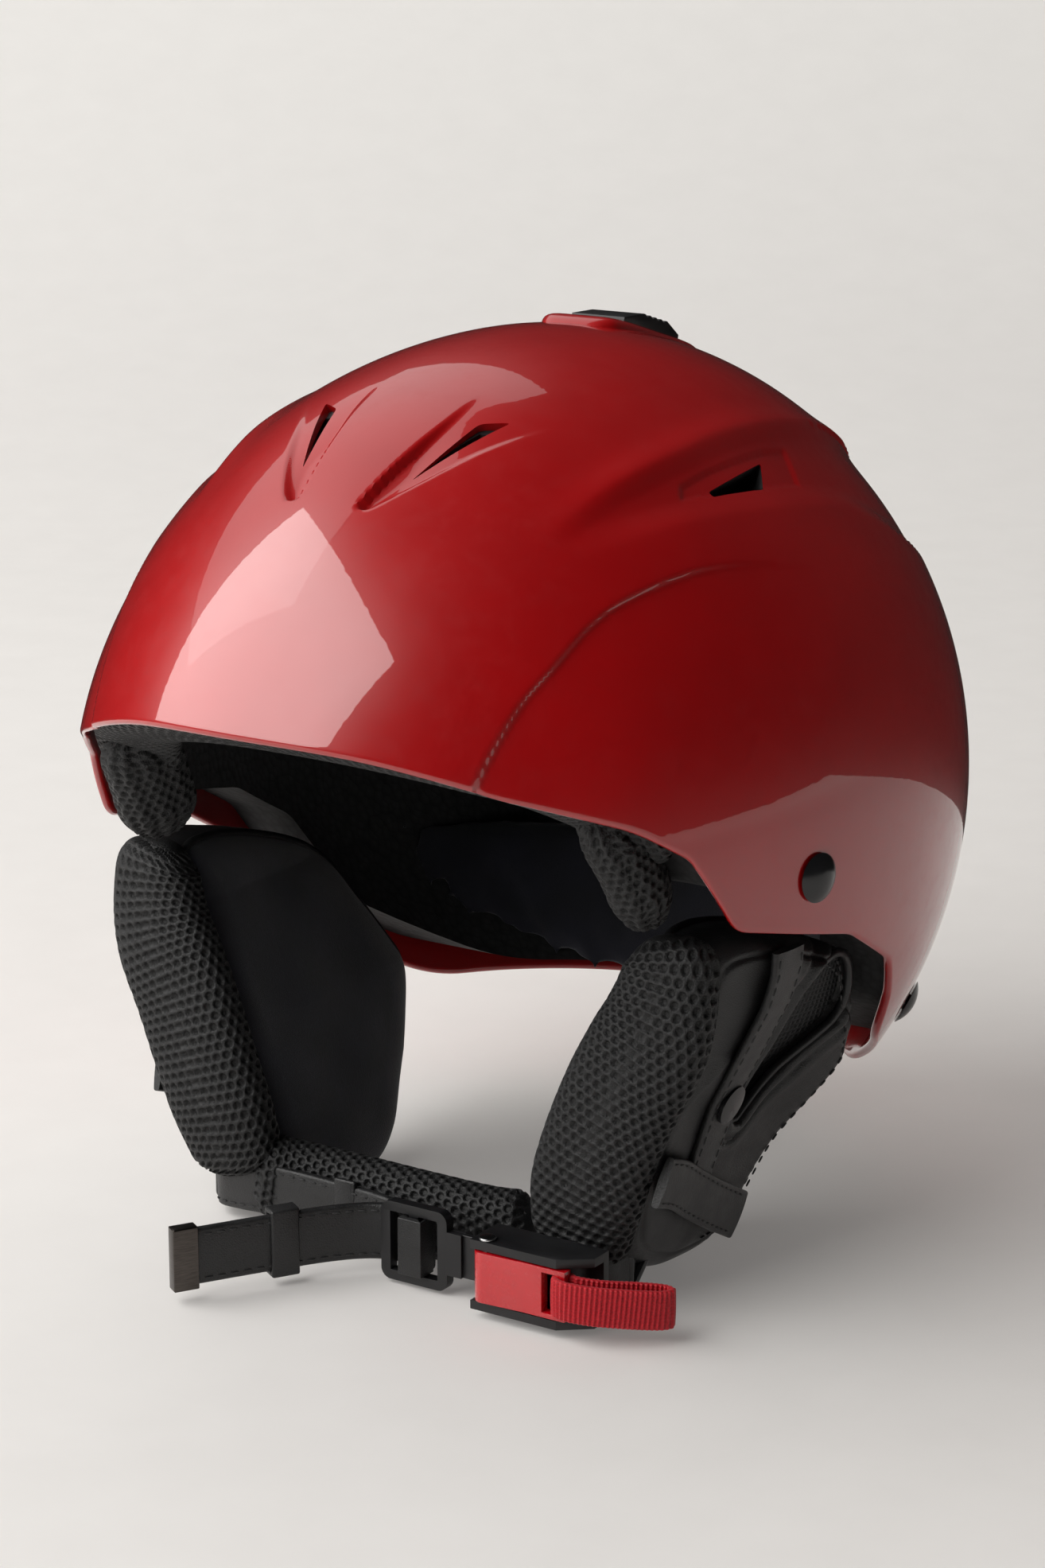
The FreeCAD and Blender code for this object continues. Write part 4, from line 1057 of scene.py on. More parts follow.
@dataclass(frozen=True)
class Rim:
    """The shell's lower edge in the side view, as (y, z) corners with radii."""

    corners: tuple = ((-190, 168), (-129, 162), (-107, 150), (-83, 140), (-70, 131), (-57, 110), (-14, 100),
                      (10, 86.5), (19, 73), (25, 59), (60, 36), (100, 35), (200, 35))
    radii: tuple = (0, 40, 40, 40, 8, 9, 18, 14, 14, 20, 30, 0, 0)

    def line(self) -> np.ndarray:
        """Points along the rounded edge.

        Returns:
            An array of (y, z).
        """
        corners = [np.array(c, float) for c in self.corners]
        points = [corners[0]]
        for i in range(1, len(corners) - 1):
            back, ahead = unit(corners[i - 1] - corners[i]), unit(corners[i + 1] - corners[i])
            half = math.acos(np.clip(np.dot(back, ahead), -1, 1)) / 2
            radius = self.radii[i]
            if radius == 0 or half > math.radians(89.5):
                points.append(corners[i])
                continue
            reach = radius / math.tan(half)
            middle = unit(back + ahead)
            centre = corners[i] + middle * radius / math.sin(half)
            start, end = corners[i] + back * reach - centre, corners[i] + ahead * reach - centre
            a0, a1 = math.atan2(start[1], start[0]), math.atan2(end[1], end[0])
            sweep = (a1 - a0 + math.pi) % (2 * math.pi) - math.pi
            for t in np.linspace(0, 1, 10):
                points.append(centre + radius * np.array([math.cos(a0 + sweep * t),
                                                          math.sin(a0 + sweep * t)]))
        points.append(corners[-1])
        return np.array(points)

    def height(self, y: np.ndarray) -> np.ndarray:
        """Height of the edge above the resting surface at y."""
        line = self.line()
        order = np.argsort(line[:, 0])
        return np.interp(y, line[order, 0], line[order, 1])


EGG = Egg()
RIM = Rim()


def from_line(points: np.ndarray, normals: np.ndarray, line: np.ndarray) -> tuple[np.ndarray, np.ndarray]:
    """Signed distance of surface points from a line drawn on the surface.

    Args:
        points: Surface points.
        normals: Their outward directions.
        line: Points of the line.

    Returns:
        The distance, positive to the right of the line as seen from outside, and how far along it is, 0 to 1.
    """
    best = np.full(len(points), 1e9)
    signed = np.zeros(len(points))
    share = np.zeros(len(points))
    total = len(line) - 1
    for i in range(total):
        start, way = line[i], line[i + 1] - line[i]
        t = np.clip((points - start) @ way / np.dot(way, way), 0, 1)
        gap = points - (start + t[:, None] * way)
        distance = np.linalg.norm(gap, axis=1)
        side = np.einsum("ij,ij->i", np.cross(way[None, :], normals), gap)
        closer = distance < best
        best = np.where(closer, distance, best)
        signed = np.where(closer, np.where(side >= 0, distance, -distance), signed)
        share = np.where(closer, (i + t) / total, share)
    return signed, share


@dataclass
class ShellSkin:
    """Hard outer shell with its moulded ridges, recesses, vents and rolled lip."""

    wall: float = 2.6
    lip: float = 1.5
    columns: int = 330
    rows: int = 240
    inner_rows: int = 40
    brow_line: tuple = ((8.6, -89.4, 211.4), (10.2, -79.6, 217.8), (12.1, -68.4, 223.9), (13.8, -56.8, 229.0),
                        (14.7, -42, 234))
    cheek_line: tuple = ((8.6, -89.4, 211.4), (12.7, -89.2, 211.0), (19.6, -80.1, 215.8),
                         (24.7, -71.2, 219.7),
                         (29.5, -61.4, 223.1), (36.8, -46.8, 226.5), (45, -30, 229))
    ridge_line: tuple = ((51.5, -77.9, 202.0), (54.3, -64.7, 208.4), (56.9, -50.1, 213.9),
                         (59.5, -35.8, 217.4),
                         (61.4, -22.0, 219.8), (62.3, -9.1, 221.5), (63.1, 4.2, 222.2), (63.5, 25.9, 220.5),
                         (61, 48, 215), (55, 72, 206), (46, 92, 194), (36, 108, 178))
    flank_line: tuple = ((56, -78, 198), (65.6, -56.9, 203.4), (71.7, -39.0, 205.9), (77.0, -20.1, 206.4),
                         (81.4, 1.7, 205.1), (84, 27.8, 201), (84, 48, 191), (78, 70, 178), (66, 92, 163))
    arc_line: tuple = ((57, -116, 146), (59.1, -110.8, 153.1), (60.4, -106.9, 159.3), (63.1, -97.8, 170.1),
                       (66.3, -88.1, 177.9), (69.0, -76.9, 185.8), (72.0, -66.2, 190.7), (77.7, -48.9, 194.6),
                       (81.7, -36.4, 195.5), (87, -20, 193.5), (92, 0, 189))
    pocket: tuple = ((66.4, -28.7, 214.2), (67.1, -17.2, 216.4), (68.4, 9.5, 218.2), (69.5, 20.6, 216.9),
                     (79.0, 12.7, 208.1), (76.6, -2.0, 209.9), (69.6, -33.6, 209.8))
    front_hole: tuple = ((17.0, -77.0, 218), (22.0, -53.6, 228), (28.6, -49.0, 228))
    side_hole: tuple = ((71.0, -20.7, 212.2), (72.4, -21.7, 210.7), (76.4, -2.0, 210.1), (71.2, 5.5, 215.7))
    rear_hole: tuple = ((56, 73, 202), (66, 86, 187), (52, 92, 190))

    def rises(self, turn: np.ndarray) -> np.ndarray:
        """Rise of the rim at each turn round the shell.

        Args:
            turn: Angles round the shell.

        Returns:
            The rise where the surface meets the rim.
        """
        low = np.full(turn.shape, math.radians(-75))
        high = np.full(turn.shape, math.radians(60))
        for _ in range(40):
            middle = (low + high) / 2
            at = EGG.point(turn, middle)
            above = at[:, 2] > RIM.height(at[:, 1])
            high = np.where(above, middle, high)
            low = np.where(above, low, middle)
        return (low + high) / 2

    def turns(self, columns: int) -> np.ndarray:
        """Angles of the columns on the left half, closer together where the rim is steep.

        Args:
            columns: How many on one side.

        Returns:
            The angles from the front to the back.
        """
        fine = np.linspace(-math.pi / 2, math.pi / 2, 3000)
        at = EGG.point(fine, self.rises(fine))
        step = np.linalg.norm(np.diff(at, axis=0), axis=1)
        run = np.concatenate([[0], np.cumsum(step + 0.06)])
        return np.interp(np.linspace(0, run[-1], columns), run, fine)

    def sculpt(self, points: np.ndarray) -> np.ndarray:
        """Height of the moulded relief at points of the plain surface.

        Args:
            points: Points of the egg.

        Returns:
            The outward offset of each, in millimetres.
        """
        folded = points.copy()
        folded[:, 0] = np.abs(folded[:, 0])
        normals = EGG.normal(folded)
        offset = np.zeros(len(points))
        brow = smooth_path(self.brow_line, 30)
        cheek = smooth_path(self.cheek_line, 40)
        right, along = from_line(folded, normals, brow)
        below, _ = from_line(folded, normals, cheek)
        inside = smoothstep(right / 2.2) * smoothstep(-below / 1.4)
        across = np.clip(-below / np.maximum(right - below, 0.1), 0, 1)
        fall = 1 - smoothstep((along - 0.15) / 0.85)
        offset -= inside * (2.6 * fall * across + 0.7 * fall + 0.45 * (1 - along))
        ridge, way = from_line(folded, normals, smooth_path(self.ridge_line, 60))
        flank, _ = from_line(folded, normals, smooth_path(self.flank_line, 50))
        fade = smoothstep(way / 0.22) * (1 - smoothstep((way - 0.86) / 0.14))
        channel = smoothstep(ridge / 6.5 + 0.12) * smoothstep(-flank / 9 + 0.15)
        offset -= channel * fade * 1.7
        crest = np.exp(-(ridge / 5.5) ** 2) * fade * 1.3
        offset += crest
        arc, place = from_line(folded, normals, smooth_path(self.arc_line, 60))
        strength = 1 - smoothstep((place - 0.6) / 0.4)
        offset -= smoothstep(arc / 1.5 + 0.5) * np.exp(-np.clip(arc, 0, None) / 34) * 1.15 * strength
        corners = np.array(self.pocket)
        depth = np.full(len(points), 1e9)
        for i in range(len(corners)):
            start, end = corners[i], corners[(i + 1) % len(corners)]
            way_3d = unit(end - start)
            inward = np.cross(way_3d[None, :], normals)
            depth = np.minimum(depth, np.einsum("ij,ij->i", inward, folded - start))
        near = np.linalg.norm(folded - corners.mean(axis=0), axis=1) < 60
        lengthwise = np.clip((folded[:, 1] + 30) / 50, 0, 1)
        offset -= np.where(near, smoothstep(depth / 1.8), 0) * (2.0 - 1.3 * lengthwise)
        return np.maximum(offset, 0.3 - self.wall)

    def cutter(self, corners: Sequence[Point], reach: float = 12.0) -> bpy.types.Object:
        """A rounded prism that cuts one vent square to the surface.

        Args:
            corners: The vent's corners.
            reach: How far the prism reaches out and in.

        Returns:
            The cutter object.
        """
        given = np.array(corners, float)
        middle = given.mean(axis=0)
        normal = EGG.normal(middle[None,
                                   :] * np.array([np.sign(middle[0]), 1,
                                                  1]))[0] * np.array([np.sign(middle[0]), 1, 1])
        outline = []
        total = len(given)
        for i in range(total):
            corner, before, after = given[i], given[i - 1], given[(i + 1) % total]
            cut = min(1.6, 0.3 * np.linalg.norm(before - corner), 0.3 * np.linalg.norm(after - corner))
            p0, p2 = corner + unit(before - corner) * cut, corner + unit(after - corner) * cut
            for t in np.linspace(0, 1, 6):
                outline.append((1 - t) ** 2 * p0 + 2 * t * (1 - t) * corner + t * t * p2)
        outline = np.array(outline)
        points = np.vstack([outline - normal * reach, outline + normal * reach])
        count = len(outline)
        faces = [tuple(range(count)), tuple(range(count, 2 * count))]
        faces += [(i, (i + 1) % count, count + (i + 1) % count, count + i) for i in range(count)]
        mesh = mesh_of("vent_cutter", points, faces)
        outward(mesh)
        cutter = bpy.data.objects.new("vent_cutter", mesh)
        bpy.context.scene.collection.objects.link(cutter)
        return cutter

    def build(self) -> bpy.types.Object:
        """Builds the shell.

        Returns:
            The shell piece.
        """
        columns, rows = self.columns, self.rows
        half = self.turns(columns)
        turn = np.concatenate([half, math.pi - half[-2:0:-1]])
        rim_rise = np.concatenate([self.rises(half), self.rises(half)[-2:0:-1]])
        total = len(turn)
        top = math.radians(89.6)
        shares = np.linspace(0, 1, rows)
        outer = []
        for share in shares:
            rise = rim_rise + (top - rim_rise) * share
            points = EGG.point(turn, rise)
            points = points + EGG.normal(points) * self.sculpt(points)[:, None]
            outer.append(points)
        edge_out = outer[0]
        edge_in = EGG.point(turn, rim_rise, self.wall)
        down = unit(outer[0] - outer[2])
        middle = (edge_out + edge_in) / 2
        across = (edge_out - edge_in) / 2
        lip = [middle - across * math.cos(t) + down * self.lip * math.sin(t)
               for t in np.linspace(0, math.pi, 9)[1:-1]]
        inner = []
        for share in np.linspace(1, 0, self.inner_rows):
            rise = rim_rise + (top - rim_rise) * share
            inner.append(EGG.point(turn, rise, self.wall))
        grid = np.array(inner + lip + outer)
        points = grid.reshape(-1, 3)
        faces = grid_faces(len(grid), total, True)
        poles = np.array([inner[0].mean(axis=0), outer[-1].mean(axis=0)])
        first, last = len(points), len(points) + 1
        points = np.vstack([points, poles])
        base = (len(grid) - 1) * total
        faces += [(first, (i + 1) % total, i) for i in range(total)]
        faces += [(last, base + i, base + (i + 1) % total) for i in range(total)]
        mesh = mesh_of("shell_skin", points, faces)
        outward(mesh)
        piece = bpy.data.objects.new("shell_skin", mesh)
        bpy.context.scene.collection.objects.link(piece)
        cutters = []
        for corners in (self.front_hole, self.side_hole, self.rear_hole):
            for side in Side:
                cutters.append(self.cutter([(x * side.value, y, z) for x, y, z in corners]))
        for cutter in cutters:
            step = piece.modifiers.new("vent", "BOOLEAN")
            step.operation = "DIFFERENCE"
            step.solver = "MANIFOLD"
            step.object = cutter
        apply_modifiers(piece)
        for cutter in cutters:
            bpy.data.objects.remove(cutter)
        mesh = piece.data
        mesh.materials.clear()
        mesh.materials.append(PAINTS.get(Finish.SHELL))
        mesh.shade_smooth()
        mesh.set_sharp_from_angle(angle=math.radians(38))
        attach(piece, "shell")
        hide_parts("outer_shell")
        log.info("shell_skin: %d faces", len(mesh.polygons))
        return piece


@dataclass
class CrownRail:
    """Raised boss on the crown and the faceted slider that opens the vents."""

    length: float = 60.0
    width: float = 25.0
    middle: tuple = (52.0, 238.3)
    slope: float = 16.0

    def build(self) -> None:
        """Builds the boss and rounds the slider."""
        half, side = self.length / 2, self.width / 2
        stations = [(-half, -5.0, 0.55), (-half + 3, -1.6, 0.8), (-half + 9, 0.0, 1.0), (0, 0.3, 1.0),
                    (half - 10, 0.0, 0.96), (half - 4, -2.6, 0.85), (half, -9.0, 0.7)]
        path = smooth_path([(s[0], s[1], s[2]) for s in stations], 60)
        points, around = [], 28
        tilt = math.radians(-self.slope)
        for y, z, wide in path:
            for k in range(around):
                turn = 2 * math.pi * k / around
                c, s = math.cos(turn), math.sin(turn)
                x = side * wide * np.sign(c) * abs(c) ** 0.35
                drop = z - 8.0 + 8.0 * np.sign(s) * abs(s) ** 0.3 if s > 0 else z - 8.0 - 8.0 * abs(s) ** 0.3
                flare = 1.0 + (0.0 if s > 0 else 0.12 * abs(s))
                yy = y * math.cos(tilt) - drop * math.sin(tilt)
                zz = y * math.sin(tilt) + drop * math.cos(tilt)
                points.append((x * flare, self.middle[0] + yy, self.middle[1] + zz))
        faces = grid_faces(len(path), around, True)
        faces.append(tuple(range(around)))
        faces.append(tuple((len(path) - 1) * around + k for k in range(around)))
        mesh = mesh_of("crown_boss", np.array(points), faces)
        outward(mesh)
        finish_object("crown_boss", mesh, "shell", Finish.SHELL)
        softened("slider_knob", "vent_slider", Finish.PLASTIC, 0.7)
        softened("shutter_plate", "vent_slider", Finish.PLASTIC, 0.3)


# ---------------------------------------------------------------- padding under the brim and at the nape
@dataclass
class BrowRoll:
    """Spacer-mesh roll under the brim, from temple to temple, and its gathered ends."""

    depth: float = 24.0
    thickness: float = 8.0
    inset: float = 3.4
    lift: float = 3.2
    end_turn: float = -33.0

    def centre_line(self) -> tuple[np.ndarray, np.ndarray]:
        """Centre of the roll and the direction across it, from the left temple round the front.

        Returns:
            The centres and the inward directions.
        """
        half = np.radians(np.linspace(self.end_turn, -90, 200))
        turn = np.concatenate([half, math.pi - half[-2::-1]])
        rise = ShellSkin().rises(half)
        rise = np.concatenate([rise, rise[-2::-1]])
        edge = EGG.point(turn, rise)
        plan = EGG.normal(edge) * np.array([1, 1, 0])
        plan = unit(plan)
        outer = edge - plan * self.inset
        inner = edge - plan * (self.inset + self.depth)
        outer[:, 2] = RIM.height(outer[:, 1]) + self.lift
        inner[:, 2] = RIM.height(inner[:, 1]) + self.lift + 1.5
        middle = (outer + inner) / 2
        return middle, unit(inner - outer)

    def build(self) -> None:
        """Builds the roll and the temple ends."""
        middle, inward = self.centre_line()
        run = np.concatenate([[0], np.cumsum(np.linalg.norm(np.diff(middle, axis=0), axis=1))])
        count = 800
        wanted = np.linspace(0, run[-1], count)
        centres = np.stack([np.interp(wanted, run, middle[:, k]) for k in range(3)], axis=1)
        kernel = np.ones(25) / 25
        for k in range(3):
            padded = np.pad(centres[:, k], 12, mode="edge")
            centres[:, k] = np.convolve(padded, kernel, mode="valid")
        wide = np.stack([np.interp(wanted, run, inward[:, k]) for k in range(3)], axis=1)
        roll = Roll("brow_roll", centres, wide, np.full(count, self.depth / 2),
                    np.full(count, self.thickness / 2),
                    power=3.0, around=130, pitch=3.0, hole=0.95, sink=0.8,
                    end_round=7.0)
        piece = finish_object("brow_roll", roll.mesh(), "shell", Finish.MESH, sharp=80)
        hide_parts("brow_pad")
        for side in Side:
            self.temple(side)

    def temple(self, side: Side) -> None:
        """Builds one gathered temple end.

        Args:
            side: The wearer's side.
        """
        points = [(72, -80, 143), (74, -72, 132), (76, -65, 120), (77, -60, 108)]
        path = smooth_path([(x * side.value, y, z) for x, y, z in points], 130)
        wide = np.tile(np.array([0.45 * side.value, -0.9, 0.1]), (130, 1))
        name = "temple_pad_" + side.word
        roll = Roll(name, path, wide, np.full(130, 11.0), np.full(130, 8.0), power=2.3, around=150, pitch=3.0,
                    hole=0.95, sink=0.8, end_round=13.0, gathers=0.5)
        piece = finish_object(name + "_roll", roll.mesh(), "shell", Finish.MESH, sharp=80)
        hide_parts(name)


@dataclass
class NeckPad:
    """Velour flap at the nape with a bound edge and a plain gold zigzag."""

    def build(self) -> None:
        """Builds the flap and its embroidery."""
        flap = inflated("neck_pad", "shell", Finish.VELOUR, "neck_flap", cap=1.5, voxel=3.0)
        self.embroider(flap)

    def embroider(self, flap: bpy.types.Object) -> None:
        """Lays the gold zigzag on the flap's inner face.

        Args:
            flap: The swelled flap.
        """
        stitches = []
        corners = [(x, 36.0 + (9.0 if i % 2 else -4.0)) for i, x in enumerate(np.arange(-56, 57, 8.0))]
        graph = bpy.context.evaluated_depsgraph_get()
        for (x0, z0), (x1, z1) in zip(corners, corners[1:]):
            steps = 14
            for k in range(steps):
                t = (k + 0.5) / steps
                x, z = x0 + (x1 - x0) * t, z0 + (z1 - z0) * t
                start = Vector((x * 0.35, 20.0, z)) * MM
                way = Vector((x * 0.65, 75.0, 0.0)).normalized()
                hit, place, normal, _ = flap.ray_cast(start, way, distance=0.2, depsgraph=graph)
                if not hit:
                    continue
                run = np.array([1.0, 0.0, 0.35 if k % 2 else -0.1])
                stitches.append((np.array(place) / MM + np.array(normal) * 0.15, run, np.array(normal), 2.6,
                                 0.42))
        if stitches:
            mesh = stitch_mesh("neck_zigzag", stitches)
            finish_object("neck_zigzag", mesh, "shell", Finish.GOLD)


# ---------------------------------------------------------------- ear pads
@dataclass
class EarPad:
    """One hinged ear pad: cover, mesh front, lining, moulded ear ring, stitched band and keeper."""

    side: Side
    face: tuple = ((100, 112), (99, 88), (83, 55), (75, 31), (67, -4))
    depth: float = 23.0
    middle: tuple = (-12.0, 56.0)
    edge_round: float = 8.0
    mouldings: tuple = ((1.7, 2.4, 1.7), (-0.9, 6.0, 1.1), (0.5, 8.6, 1.6))
    ear_recess: float = 5.2
    seam_groove: float = 0.7
    seam_inset: float = 5.0
    wall_steps: int = 4
    wall_bow: float = 1.0
    puff_height: float = 7.0
    puff_reach: float = 14.0
    outline: tuple = ((-40, 6), (-57, 16), (-61.5, 34), (-61, 56), (-59, 80), (-55, 99), (-42, 103),
                      (-16, 97), (6, 87),
                      (15, 73), (21.5, 60), (24, 51), (18, 38), (9, 23), (1, 10), (-10, 3), (-26, 3))
    ear_top: tuple = (-2.0, 75.0, 13.0)
    ear_tip: tuple = (-19.0, 48.0, 4.0)
    band_width: float = 14.5
    band_line: tuple = ((-31, 98), (-32, 80), (-33.5, 55), (-35, 24))

    @property
    def body(self) -> str:
        """The body that the pad's pieces ride on."""
        return "ear_pad_" + self.side.word

    def face_x(self, y: np.ndarray, z: np.ndarray) -> np.ndarray:
        """The pad's outer face, which swells out to meet the shell's ear arch.

        Args:
            y: Places along the face.
            z: Heights.

        Returns:
            Distance of the face from the middle plane.
        """
        heights = [p[1] for p in self.face[::-1]]
        depths = [p[0] for p in self.face[::-1]]
        plain = np.interp(z, heights, depths)
        swell = 9.0 * smoothstep((y + 12) / 34) * smoothstep((z - 14) / 40) * (1 - smoothstep((z - 60) / 32))
        room = np.array([EGG.half_width_at(a, max(b, 70.0), 6.0) for a, b in zip(np.ravel(y), np.ravel(z))])
        return np.minimum(plain + swell, room.reshape(np.shape(y)))

    def on_face(self, y: np.ndarray, z: np.ndarray, out: float) -> np.ndarray:
        """Points on the outer face, moved out by a distance.

        Args:
            y: Places along the face.
            z: Heights.
            out: Distance out of the face.

        Returns:
            The points, on this pad's side.
        """
        return np.stack([(self.face_x(y, z) + out) * self.side.value, y, z], axis=-1)

    def name(self, piece: str) -> str:
        """A piece's name with the side's ending."""
        return piece + "_" + self.side.word

    def teardrop(self, grow: float, count: int = 120) -> np.ndarray:
        """Outline of the ear opening, grown by a distance.

        Args:
            grow: Distance outside the opening.
            count: Points round it.

        Returns:
            The (y, z) points.
        """
        (top_y, top_z, top_r), (tip_y, tip_z, tip_r) = self.ear_top, self.ear_tip
        gap = math.hypot(tip_y - top_y, tip_z - top_z)
        base = math.atan2(tip_z - top_z, tip_y - top_y)
        turn = math.acos((top_r - tip_r) / gap)
        upper = np.linspace(base + turn, base + 2 * math.pi - turn, count * 2 // 3)
        lower = np.linspace(base - turn, base + turn, count // 3)
        ring = [(top_y + (top_r + grow) * math.cos(t), top_z + (top_r + grow) * math.sin(t)) for t in upper]
        ring += [(tip_y + (tip_r + grow) * math.cos(t), tip_z + (tip_r + grow) * math.sin(t)) for t in lower]
        return smooth_path(ring, count, closed=True)

    @staticmethod
    def inside_by(points: np.ndarray, ring: np.ndarray) -> np.ndarray:
        """How far points lie inside a closed outline; negative outside.

        Args:
            points: The (y, z) points.
            ring: The outline.

        Returns:
            The signed distances.
        """
        best = np.full(len(points), 1e9)
        inside = np.zeros(len(points), bool)
        for start, end in zip(ring, np.roll(ring, -1, axis=0)):
            way = end - start
            t = np.clip((points - start) @ way / max(way @ way, 1e-9), 0, 1)
            best = np.minimum(best, np.linalg.norm(points - start - t[:, None] * way, axis=1))
            crosses = (start[1] > points[:, 1]) != (end[1] > points[:, 1])
            rise = way[1] if abs(way[1]) > 1e-9 else 1e-9
            inside ^= crosses & (points[:, 0] < start[0] + way[0] * (points[:, 1] - start[1]) / rise)
        return np.where(inside, best, -best)

    def disc(self, ring: np.ndarray, centre: tuple, rings: int) -> np.ndarray:
        """Points that fill an outline, ring by ring from its middle.

        Args:
            ring: The outline.
            centre: A point inside it.
            rings: How many rings.

        Returns:
            The (y, z) points, the outline last.
        """
        share = 1 - (1 - np.linspace(0.004, 1, rings)) ** 1.35
        middle = np.array(centre, float)
        return (middle + share[:, None, None] * (ring[None] - middle)).reshape(-1, 2)

    def build(self) -> None:
        """Builds every piece of the pad."""
        ring = smooth_path(self.outline, 360, closed=True)
        self.cover(ring)
        self.lining(ring)
        self.front_mesh()
        self.grille()
        self.band()
        self.keeper()
        softened(self.name("ring_eye"), self.body, Finish.LEATHER, 0.5)

    def cover(self, ring: np.ndarray) -> None:
        """Builds the leather cover with its moulded ear rim, seams and recess.

        Args:
            ring: The pad's outline.
        """
        rings = 130
        flat = self.disc(ring, self.middle, rings)
        edge = np.clip(self.inside_by(flat, ring), 0, None)
        ear = -self.inside_by(flat, self.teardrop(0.0))
        round_over = self.edge_round
        held = np.clip(edge, 0, round_over)
        relief = -(round_over - np.sqrt(round_over ** 2 - (round_over - held) ** 2))
        for height, reach, spread in self.mouldings:
            relief += height * np.exp(-((ear - reach) / spread) ** 2)
        relief -= self.ear_recess * smoothstep((1.0 - ear) / 1.8)
        relief -= self.seam_groove * np.exp(-((edge - self.seam_inset) / self.seam_groove) ** 2)
        crease = np.sin(flat[:, 0] * 0.23 + flat[:, 1] * 0.11) * np.sin(flat[:, 1] * 0.17 + 1.3)
        relief += 0.25 * crease * smoothstep(edge / 9)
        outer = self.on_face(flat[:, 0], flat[:, 1], 0.0)
        outer[:, 0] += relief * self.side.value
        count = len(ring)
        rim = self.on_face(ring[:, 0], ring[:, 1], 0.0)
        low = np.interp(ring[:, 1], [p[1] for p in self.face[::-1]], [p[0] for p in self.face[::-1]])
        walls = []
        start_x = rim[:, 0] * self.side.value - round_over
        for share in np.linspace(1 / self.wall_steps, 1.0, self.wall_steps):
            wall = rim.copy()
            wall[:, 0] = (start_x + (low - self.depth - start_x) * share) * self.side.value
            bow = self.wall_bow * math.sin(math.pi * share)
            away = unit(ring - np.array(self.middle))
            wall[:, 1:] += away * bow
            walls.append(wall)
        back = walls[-1].mean(axis=0)
        points = np.vstack([outer] + walls + [back[None], outer[:count].mean(axis=0)[None]])
        total = rings + self.wall_steps
        faces = grid_faces(total, count, True)
        last = total * count
        faces += [(last, (total - 1) * count + i,
                   (total - 1) * count + (i + 1) % count) for i in range(count)]
        faces += [(last + 1, (i + 1) % count, i) for i in range(count)]
        mesh = mesh_of(self.name("ear_cover"), points, faces)
        outward(mesh)
        piece = finish_object(self.name("ear_cover"), mesh, self.body, Finish.LEATHER, sharp=60)
        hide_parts(self.name("ear_cushion"))
        self.seam(ring, 6.6, 0.0)
        self.seam(ring, 3.4, -1.9)

    def seam(self, ring: np.ndarray, inset: float, drop: float) -> None:
        """Stitches along the cover's lower and rear edge.

        Args:
            ring: The pad's outline.
            inset: Distance inside the outline.
            drop: How far below the face they lie.
        """
        inward = unit(np.array(self.middle) - ring)
        line = smooth_path(ring + inward * inset, 900, closed=True)
        run = np.concatenate([[0], np.cumsum(np.linalg.norm(np.diff(line, axis=0), axis=1))])
        stitches = []
        for place in np.arange(0, run[-1], 3.4):
            i = int(np.searchsorted(run, place)) % len(line)
            y, z = line[i]
            if y < -20 or z > 88:
                continue
            ahead = line[(i + 3) % len(line)]
            here = self.on_face(np.array([y]), np.array([z]), 0.1 + drop)[0]
            there = self.on_face(np.array([ahead[0]]), np.array([ahead[1]]), 0.1 + drop)[0]
            stitches.append((here, there - here, np.array([self.side.value, 0.0, -0.3]), 2.2, 0.28))
        tag = self.name("cover_seam_" + str(int(inset)))
        finish_object(tag, stitch_mesh(tag, stitches), self.body, Finish.STITCH)

    def lining(self, ring: np.ndarray) -> None:
        """Builds the velour inner face, a soft pillow inside the cover's edge.

        Args:
            ring: The pad's outline.
        """
        rings = 90
        flat = self.disc(ring, self.middle, rings)
        edge = np.clip(self.inside_by(flat, ring), 0, self.puff_reach)
        plain = np.interp(flat[:, 1], [p[1] for p in self.face[::-1]], [p[0] for p in self.face[::-1]])
        rise = np.clip(1 - (1 - edge / self.puff_reach) ** 2, 0, 1)
        puff = np.sqrt(rise) * self.puff_height
        puff += 0.5 * np.sin(flat[:, 0] * 0.19) * np.sin(flat[:, 1] * 0.13) * (edge / self.puff_reach)
        front = np.stack([(plain - self.depth - puff) * self.side.value, flat[:, 0], flat[:, 1]], axis=1)
        count = len(ring)
        back = np.stack([(plain - self.depth + 0.6) * self.side.value, flat[:, 0], flat[:, 1]],
                        axis=1)[-count:]
        points = np.vstack([front, back, back.mean(axis=0)[None], front[:count].mean(axis=0)[None]])
        faces = grid_faces(rings + 1, count, True)
        last = (rings + 1) * count
        faces += [(last, rings * count + i, rings * count + (i + 1) % count) for i in range(count)]
        faces += [(last + 1, (i + 1) % count, i) for i in range(count)]
        mesh = mesh_of(self.name("ear_inner"), points, faces)
        outward(mesh)
        piece = finish_object(self.name("ear_inner"), mesh, self.body, Finish.VELOUR, sharp=60)
        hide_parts(self.name("ear_lining"))
        line = smooth_path(ring, 260, closed=True)
        low = np.interp(line[:, 1], [p[1] for p in self.face[::-1]], [p[0] for p in self.face[::-1]])
        welt = np.stack([(low - self.depth) * self.side.value, line[:, 0], line[:, 1]], axis=1)
        tag = self.name("welt")
        finish_object(tag, tube_mesh(tag, welt, 1.3, closed=True), self.body, Finish.LEATHER)

